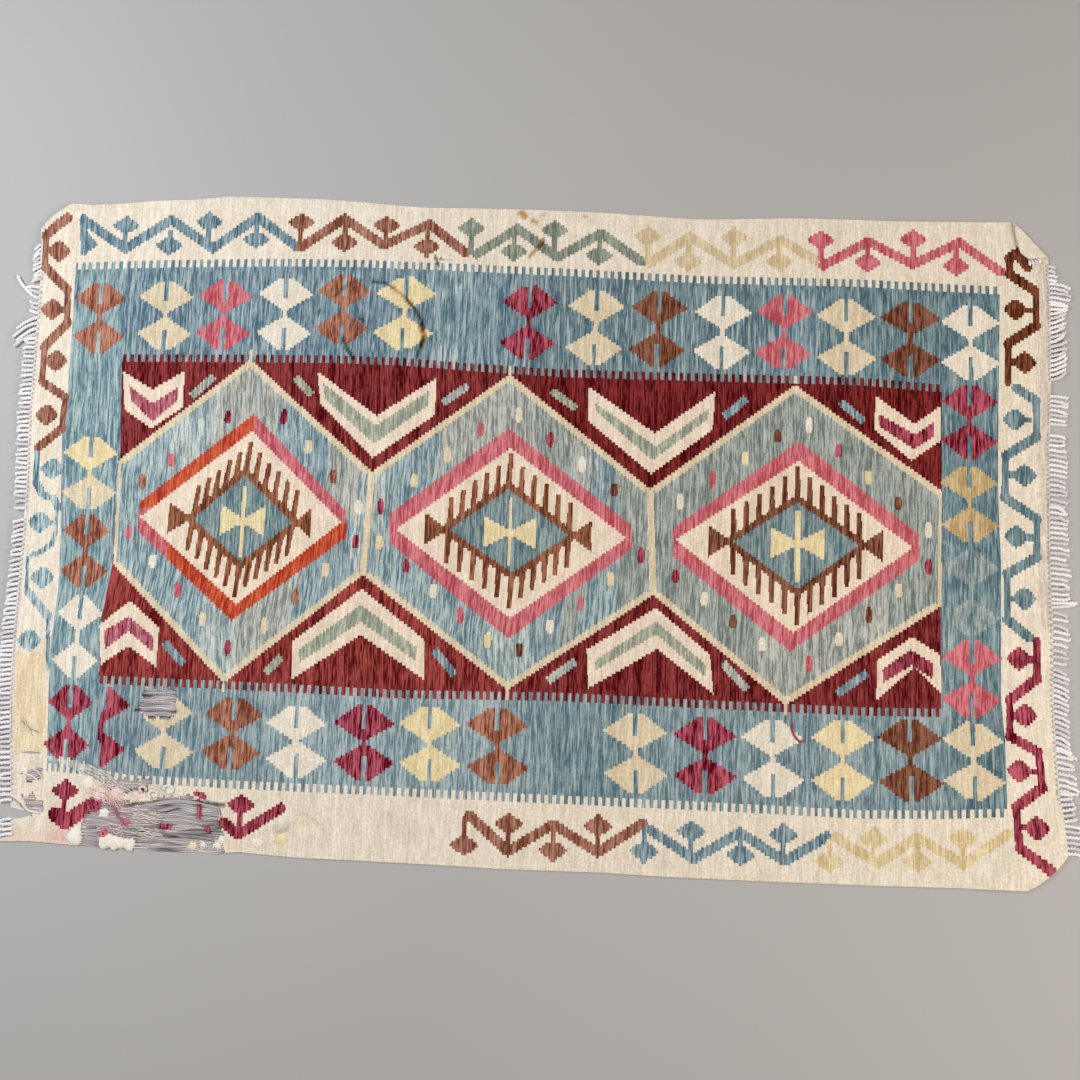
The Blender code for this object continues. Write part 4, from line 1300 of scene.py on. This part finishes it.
# the dark end is partly darker wool and partly painted shade of the gaps between bare warps
BARE_PALE, BARE_DARK_AND_GAP_SHADE = linear((242, 230, 234)), linear((62, 46, 46))
BARE_STEP = 4.0
BARE_PAST_ENDS = (3.0, 3.1)  # a bare warp runs on this far into the weft at either end
BARE_FADE = 12.0  # and is in line there, up to this far from its ends
BARE_RADIUS = 0.6
BARE_HEIGHT = 1.5
BARE_BUNCHING = 4.6  # how far it strays from its line
BARE_LEVEL = 0.68  # how pale it is: 0 is the dark end, partly painted gap shade, and 1 pale
Drift = namedtuple("Drift", "grain across seed gain")  # across tells one warp from the next
STRAY = Drift(30, 0.8, 0, 0.5)
BUNCH = Drift(60, 0.2, 3, 1.0)
LIFT = Drift(33, 0.47, 8, 0.9)
FINE_SHADE = Drift(45, 0.9, 5, 1.1)
BROAD_SHADE = Drift(70, 0.13, 9, 0.7)


def edge_x(edge, y):
    return float(guide_sum([edge], [1.0], y, 1))


def y_along(strand, x):
    """Y of a strand's middle at a distance out from its root."""
    return strand.y + strand.lean * (x / strand.length) ** LEAN_CURVE


def kept_clear(strand, above):
    """The strand, leaned away where it would touch the one above it."""
    x = min(strand.length, above.length)
    slope = LEAN_CURVE * max(abs(s.lean) / s.length for s in (strand, above))
    highest = y_along(above, x) - STRAND_SPACING * math.hypot(1, slope)
    most_lean = (highest - strand.y) / (x / strand.length) ** LEAN_CURVE
    return strand._replace(lean=min(strand.lean, most_lean))


def fringe_strands(stretches, seed):
    """Every strand of a fringe, from the top down, each clear of its neighbour."""
    strands = []
    for stretch in stretches:
        span = stretch.y_from - stretch.y_to
        gaps = max(round(span / stretch.pitch), 1)
        for step in range(gaps + 1):
            index = len(strands)
            y = stretch.y_from - span * step / gaps
            if strands and strands[-1].y - y < ROOT_SPACING:
                continue
            length = stretch.length * (1 + LENGTH_SPREAD * wander(index, seed))
            lean = stretch.lean + LEAN_SPREAD * wander(index, seed + LEAN_SEED)
            strand = Strand(y, length, lean)
            strands.append(kept_clear(strand, strands[-1]) if strands else strand)
    return strands


def make_fringe(name, edge, side, stretches, seed):
    """Twisted warp ends that come out of the cloth's end and lie on the floor."""
    yarns = Yarns()
    for index, strand in enumerate(fringe_strands(stretches, seed)):
        root_x = edge_x(edge, strand.y)
        steps = max(int(strand.length / FRINGE_STEP), FEWEST_STEPS)
        path = []
        for step in range(steps + 1):
            out = -ROOT_DEPTH + (strand.length + ROOT_DEPTH) * step / steps
            reach = max(out, 0.0)
            share = reach / strand.length
            sway = SWAY * wander(index * 3 + step * 0.35, seed + SWAY_SEED) * share
            sway += HOOK * wander(index * 1.9, seed + HOOK_SEED) * share ** 4
            height = PLY_RADIUS + PLY_OFFSET + ROOT_LIFT * (1 - share)
            path.append(Vector((root_x + side * out, y_along(strand, reach) + sway, height)))
        shade = FRINGE_SHADES[int(abs(wander(index, seed + SHADE_SEED)) * 9) % len(FRINGE_SHADES)]
        yarns.twisted(path, PLY_RADIUS, PLY_OFFSET, TWIST_PITCH, shade)
    return yarns.build(name)


def make_flap_fringe():
    """The short warp ends of the folded corner, lying down onto the cloth."""
    yarns = Yarns()
    start, end = [Vector(p) for p in FLAP_FRINGE_STRIP]
    along = (end - start).normalized()
    out = Vector((along.y, -along.x))
    top = CLOTH_THICKNESS + FLAP_TOP
    for index in range(FLAP_STRANDS):
        root = start + along * (end - start).length * (index + 0.5) / FLAP_STRANDS
        path = []
        for step in range(FLAP_STEPS + 1):
            share = step / FLAP_STEPS
            reach = FLAP_STRAND_LENGTH * share * (1 + 0.2 * wander(index, 9))
            point = root + out * (reach - ROOT_DEPTH) + along * FLAP_SWAY * wander(index + step * 0.2, 4)
            path.append(Vector((*point, top - FLAP_DROP * share ** 2)))
        shade = FRINGE_SHADES[index % 3]
        yarns.twisted(path, PLY_RADIUS * FLAP_YARN, PLY_OFFSET * FLAP_YARN, TWIST_PITCH, shade)
    return yarns.build("fringe_flap_yarn")


def bare_runs():
    """(row, first column, last column) of every stretch without weft."""
    for row in range(ROWS):
        gone = np.concatenate([[False], chart[row] == NONE, [False]]).astype(int)
        edges = np.diff(gone)
        yield from ((row, a, b) for a, b in zip(np.flatnonzero(edges == 1), np.flatnonzero(edges == -1)))


def drift_along(u, thread, drift):
    """Smooth unevenness at places along a bare warp."""
    across = thread * drift.across
    return drift.gain * np.array([noise.noise(Vector((a / drift.grain, across, drift.seed))) for a in u])


def make_bare_warps():
    """The warps that show where the weft is gone, each a little out of line and partly painted dark as gap
    shade.
    """
    yarns = Yarns()
    for row, first, last in bare_runs():
        for warp in (0, 1):
            start, end = U_LINES[first] - BARE_PAST_ENDS[0], U_LINES[last] + BARE_PAST_ENDS[1]
            u = np.arange(start, end, BARE_STEP)
            if len(u) < 3:
                continue
            v = np.full(len(u), V_LINES[row] + WARP_PITCH * (warp + 0.5))
            x, y = laid(u, v)
            y = give_way(u, v, x, y)
            thread = row * 2 + warp
            fade = np.minimum(1, np.minimum(u - u[0], u[-1] - u) / BARE_FADE)
            sway = drift_along(u, thread, STRAY) + drift_along(u, thread, BUNCH)
            sway = sway * BARE_BUNCHING * fade
            height = BARE_HEIGHT + drift_along(u, thread, LIFT)
            path = [Vector(p) for p in zip(x, y + sway, height)]
            level = BARE_LEVEL + drift_along(u, thread, FINE_SHADE) + drift_along(u, thread, BROAD_SHADE)
            level = np.clip(level, 0, 1)[:, None]
            # the soil colour adds stains and painted shade along the slits
            shades = (BARE_DARK_AND_GAP_SHADE + level * (BARE_PALE - BARE_DARK_AND_GAP_SHADE)) * soil_and_shade_at(x, y)
            yarns.tube(path, [BARE_RADIUS] * len(path), shades)
    return yarns.build("bare_warps")


def make_tufts():
    """Lumps of loose wool, with fibres that stand off their edges."""
    yarns = Yarns()
    for number, tuft in enumerate(TUFTS):
        foot = Vector((tuft.x, tuft.y, TUFT_FOOT))
        yarns.mound(foot, tuft.size, number * TUFT_SEED_STEP, blend(tuft.dye, TUFT_PALENESS))
        for fibre in range(TUFT_FIBRES):
            seed = number * FIBRE_SEEDS[0] + fibre * FIBRE_SEEDS[1]
            turn = 2 * math.pi * fibre / TUFT_FIBRES + wander(seed, 1)
            reach = tuft.size * (FIBRE_START[0] + FIBRE_START[1] * wander(seed, 2))
            x, y = tuft.x + reach * math.cos(turn), tuft.y + reach * math.sin(turn)
            place = Vector((x, y, FIBRE_HEIGHT))
            path = []
            turn += FIBRE_TURNS[0] * wander(seed, 3)
            for step in range(FIBRE_STEPS + 1):
                turn += FIBRE_TURNS[1] * wander(seed + step, 4)
                path.append(place.copy())
                place += Vector((math.cos(turn), math.sin(turn), FIBRE_RISE * wander(seed + step, 5)))
            radii = [FIBRE_RADIUS] * FIBRE_STEPS + [FIBRE_RADIUS / 2]
            yarns.tube(path, radii, blend(tuft.dye, 1), sides=4)
    return yarns.build("wool_tufts")


def wavy_path(stations, seed):
    """A path through plan points with a slow wave in it, just above the cloth."""
    stations = [Vector(p) for p in stations]
    lengths = [0.0]
    for before, after in zip(stations, stations[1:]):
        lengths.append(lengths[-1] + (after - before).length)
    path = []
    for step in range(LOOSE_STEPS + 1):
        at = lengths[-1] * step / LOOSE_STEPS
        x = float(np.interp(at, lengths, [p.x for p in stations]))
        y = float(np.interp(at, lengths, [p.y for p in stations]))
        path.append(Vector((x, y + LOOSE_WAVE * wander(step * 0.4, seed), LOOSE_HEIGHT)))
    return path


def make_loose_yarns():
    """Broken yarns that lie on the cloth: single ones, fuzz of thin ones, and curls."""
    yarns = Yarns()
    for number, yarn in enumerate(LOOSE_YARNS):
        radii = [yarn.radius * share for share in LOOSE_TAPER]
        yarns.tube(wavy_path(yarn.points, number), radii, blend(yarn.dye, 0.5))
    radii = [FUZZ_RADIUS * share for share in LOOSE_TAPER]
    for number, fuzz in enumerate(FUZZ):
        start, end = Vector((fuzz.x_from, fuzz.y_from)), Vector((fuzz.x_to, fuzz.y_to))
        aside = (end - start).orthogonal().normalized() * fuzz.spread / 2
        along = (end - start) * FUZZ_SLIDE
        for thread in range(fuzz.count):
            seed = number * FUZZ_SEED_STEP + thread
            place = aside * (2 * thread / (fuzz.count - 1) - 1) + along * wander(seed, 1)
            middle = (start + end) / 2 + place + aside * FUZZ_BOW * wander(seed, 2)
            points = [start + place, middle, end + place * FUZZ_FLARE]
            yarns.tube(wavy_path(points, seed), radii, blend(fuzz.dye, thread % 2), sides=4)
    radii = [CURL_RADIUS * share for share in LOOSE_TAPER]
    for number, curl in enumerate(CURLS):
        path = []
        for step in range(LOOSE_STEPS + 1):
            turn = CURL_SWEEP * step / LOOSE_STEPS + 6 * wander(number, 3)
            radius = curl.size / 2 * (1 + CURL_UNEVENNESS * wander(number + step * 0.3, 4))
            way = Vector((math.cos(turn), CURL_SQUASH * math.sin(turn), 0))
            path.append(Vector((curl.x, curl.y, LOOSE_HEIGHT + CURL_LIFT)) + way * radius)
        yarns.tube(path, radii, blend(curl.dye, CURL_PALENESS))
    return yarns.build("loose_yarns")


# ---- materials: grains of noise, their size in metres along the warps and along the wefts

Grain = namedtuple("Grain", "size detail low high weight", defaults=(1.0,))  # low..high become 0..1
STREAKS = [
    Grain((0.016, 0.2), 2.0, 0.36, 0.64, 0.22),
    Grain((0.0048, 0.06), 2.0, 0.36, 0.64, 0.38),
    Grain((0.0024, 0.018), 2.0, 0.36, 0.64, 0.4),
]
STREAK_RANGE = (0.27, 0.73)
SEAM = Grain((0.0022, 0.12), 1.0, 0.34, 0.42, 0.65)  # thin deep lines between wefts
SEAM_LEAST = 0.35
FLECK = Grain((0.0036, 0.055), 1.0, 0.56, 0.64)  # dashes of undyed wool
WOOL = [Grain((0.0036, 0.0036), 2.0, 0.3, 0.7, 0.24), Grain((0.02, 0.024), 2.0, 0.3, 0.7, 0.1)]
WOOL_LEAST = 0.8
FLUFF = [Grain((0.0016, 0.0016), 3.0, 0.2, 0.8, 0.2), Grain((0.03, 0.03), 2.0, 0.3, 0.7, 0.1)]
FLUFF_LEAST = 0.85
WEFT_SIZE = (0.0009, 0.004)
RIB_BUMP, WEFT_BUMP = 0.5, 0.8
CLOUD_SIZE = (0.9, 0.9)
FLOOR_TONES = (0.44, 0.48)


class Graph:
    """A node material in the making."""

    def __init__(self, name):
        self.material = bpy.data.materials.new(name)
        self.material.use_nodes = True
        self.tree = self.material.node_tree
        self.shader = self.tree.nodes["Principled BSDF"]

    def add(self, kind, inputs=None, output=0, **settings):
        """A node with its inputs set or linked; returns the output asked for."""
        node = self.tree.nodes.new(kind)
        for key, value in settings.items():
            setattr(node, key, value)
        self.feed(node, inputs or {})
        return node.outputs[output]

    def feed(self, node, inputs):
        for key, value in inputs.items():
            if isinstance(value, bpy.types.NodeSocket):
                self.tree.links.new(value, node.inputs[key])
            else:
                node.inputs[key].default_value = value

    def noise(self, coordinates, size, detail=2.0):
        """Noise whose grains have this size (x, y), in metres."""
        scale = (1 / size[0], 1 / size[1], 1)
        scaled = self.add("ShaderNodeMapping", {"Vector": coordinates, "Scale": scale})
        return self.add("ShaderNodeTexNoise", {"Vector": scaled, "Scale": 1.0, "Detail": detail})

    def maths(self, operation, a, b=0.0, clamp=False):
        return self.add("ShaderNodeMath", {0: a, 1: b}, operation=operation, use_clamp=clamp)

    def spread(self, value, low, high):
        """A value stretched so that low and high become 0 and 1, and held there beyond them."""
        return self.add("ShaderNodeMapRange", {"Value": value, "From Min": low, "From Max": high})

    def grain(self, coordinates, grain):
        return self.spread(self.noise(coordinates, grain.size, grain.detail), grain.low, grain.high)

    def weighted(self, values, grains):
        """Sum of values, each counted by its grain's weight."""
        total = self.maths("MULTIPLY", values[0], grains[0].weight)
        for value, grain in zip(values[1:], grains[1:]):
            total = self.maths("ADD", total, self.maths("MULTIPLY", value, grain.weight))
        return total

    def mix(self, share, low, high):
        """A colour between two."""
        return self.add("ShaderNodeMix", {0: share, 6: low, 7: high}, 2, data_type="RGBA")

    def colour(self, name):
        return self.add("ShaderNodeAttribute", attribute_name=name)

    def amount(self, name):
        return self.add("ShaderNodeAttribute", output=2, attribute_name=name)


def cloth_material():
    g = Graph("dyed_wool_weave")
    uv = g.add("ShaderNodeUVMap", uv_map="woven")
    streaks = [g.grain(uv, grain) for grain in STREAKS]
    mixed = g.spread(g.weighted(streaks, STREAKS), *STREAK_RANGE)
    seam = g.maths("ADD", g.maths("MULTIPLY", g.grain(uv, SEAM), SEAM.weight), SEAM_LEAST)
    mixed = g.maths("MULTIPLY", mixed, seam)
    dyed = g.mix(mixed, g.colour("deep"), g.colour("pale"))
    fleck = g.maths("MULTIPLY", g.grain(uv, FLECK), g.amount("flecks"), clamp=True)
    flecked = g.mix(fleck, dyed, (*linear(UNDYED), 1.0))
    wool = g.weighted([g.grain(uv, grain) for grain in WOOL], WOOL)
    level = g.maths("ADD", wool, WOOL_LEAST)
    shaded = g.add("ShaderNodeVectorMath", {0: flecked, "Scale": level}, operation="SCALE")
    # stains and painted shade darken the colour here
    soiled_and_shaded = g.add("ShaderNodeVectorMath", {0: shaded, 1: g.colour("soil_and_shade")}, operation="MULTIPLY")
    ribs = g.add("ShaderNodeMapping", {"Vector": uv, "Scale": (0, 2 * math.pi * 1000 / WARP_PITCH, 0)})
    rib = g.maths("COSINE", g.add("ShaderNodeSeparateXYZ", {"Vector": ribs}, 1))
    weft = g.noise(uv, WEFT_SIZE)
    height = g.maths("ADD", g.maths("MULTIPLY", rib, RIB_BUMP), g.maths("MULTIPLY", weft, WEFT_BUMP))
    bump = g.add("ShaderNodeBump", {"Height": height, "Strength": 0.35, "Distance": 0.0005})
    g.feed(g.shader, {
        "Base Color": soiled_and_shaded, "Normal": bump, "Roughness": 0.92, "Specular IOR Level": 0.08,
    })
    return g.material


def yarn_material():
    g = Graph("warp_yarn_twist")
    place = g.add("ShaderNodeTexCoord", output=3)
    fluff = [g.grain(place, grain) for grain in FLUFF]
    level = g.maths("ADD", g.weighted(fluff, FLUFF), FLUFF_LEAST)
    shaded = g.add("ShaderNodeVectorMath", {0: g.colour("shade"), "Scale": level}, operation="SCALE")
    bump = g.add("ShaderNodeBump", {"Height": fluff[0], "Strength": 0.4, "Distance": 0.0003})
    g.feed(g.shader, {
        "Base Color": shaded, "Normal": bump, "Roughness": 0.9, "Specular IOR Level": 0.2,
        "Sheen Weight": 0.2,
    })
    return g.material


def floor_material():
    g = Graph("pale_floor")
    place = g.add("ShaderNodeTexCoord", output=3)
    cloud = g.noise(place, CLOUD_SIZE)
    low, high = FLOOR_TONES
    tone = g.add("ShaderNodeMapRange", {"Value": cloud, "To Min": low, "To Max": high})
    g.feed(g.shader, {"Base Color": g.add("ShaderNodeCombineColor", {0: tone, 1: tone, 2: tone}),
                      "Roughness": 0.8})
    return g.material


# ---- camera, floor and light, in metres

FLOOR_HALF = 6.0
FLOOR_DROP = 0.0002
WORLD_COLOUR = (1.0, 0.85, 0.72, 1.0)
WORLD_STRENGTH = 0.27
Light = namedtuple("Light", "name place energy size colour")
LIGHTS = [
    Light("key", (-1.76, 0.5, 1.7), 40.5, 1.2, (0.88, 0.94, 1.0)),
    Light("fill", (2.7, -0.65, 1.7), 64.0, 1.4, (1.0, 0.93, 0.84)),
]


def place_camera():
    camera = bpy.data.objects.new("camera", bpy.data.cameras.new("camera"))
    camera.location = CAMERA_PLACE
    camera.rotation_euler = CAMERA_TURN
    camera.data.lens = CAMERA_LENS
    camera.data.sensor_width = CAMERA_SENSOR
    bpy.context.scene.collection.objects.link(camera)
    bpy.context.scene.camera = camera


def place_floor():
    mesh = bpy.data.meshes.new("floor")
    ways = ((-1, -1), (1, -1), (1, 1), (-1, 1))
    mesh.from_pydata([(FLOOR_HALF * x, FLOOR_HALF * y, 0) for x, y in ways], [], [[0, 1, 2, 3]])
    floor = add_object("floor", mesh)
    floor.location.z = -FLOOR_DROP
    mesh.materials.append(floor_material())


def place_light(light):
    """A round area light that faces the middle of the rug."""
    data = bpy.data.lights.new(light.name, "AREA")
    data.energy = light.energy
    data.color = light.colour
    data.shape = "DISK"
    data.size = light.size
    lamp = bpy.data.objects.new(light.name, data)
    lamp.location = light.place
    lamp.rotation_euler = (-Vector(light.place)).to_track_quat("-Z", "Y").to_euler()
    bpy.context.scene.collection.objects.link(lamp)


def light_scene():
    world = bpy.data.worlds.new("studio")
    bpy.context.scene.world = world
    world.use_nodes = True
    background = world.node_tree.nodes["Background"]
    background.inputs["Color"].default_value = WORLD_COLOUR
    background.inputs["Strength"].default_value = WORLD_STRENGTH
    for light in LIGHTS:
        place_light(light)
    bpy.context.scene.view_settings.view_transform = "Standard"


# ---- the scene

place_camera()
place_floor()
light_scene()
SLIT_ROWS = [slit_row(slit) for slit in SLITS]
weave_chart()

cloth = make_cloth()
bare_warps = make_bare_warps()
tufts = make_tufts()
loose_yarns = make_loose_yarns()
left = make_fringe("fringe_left_yarn", LEFT_EDGE, -1, LEFT_FRINGE, 1)
left_corner = make_fringe("fringe_left_corner_yarn", LEFT_EDGE, -1, LEFT_CORNER_FRINGE, 2)
right = make_fringe("fringe_right_yarn", RIGHT_EDGE, 1, RIGHT_FRINGE, 3)
flap = make_flap_fringe()

yarn = yarn_material()
for piece in (bare_warps, tufts, loose_yarns, left, left_corner, right, flap):
    piece.data.materials.append(yarn)
    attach(piece, "root")
cloth.data.materials.append(cloth_material())
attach(cloth, "root")
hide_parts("cloth")
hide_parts("fringe_left")
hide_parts("fringe_left_corner")
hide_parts("fringe_right")
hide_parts("fringe_flap")
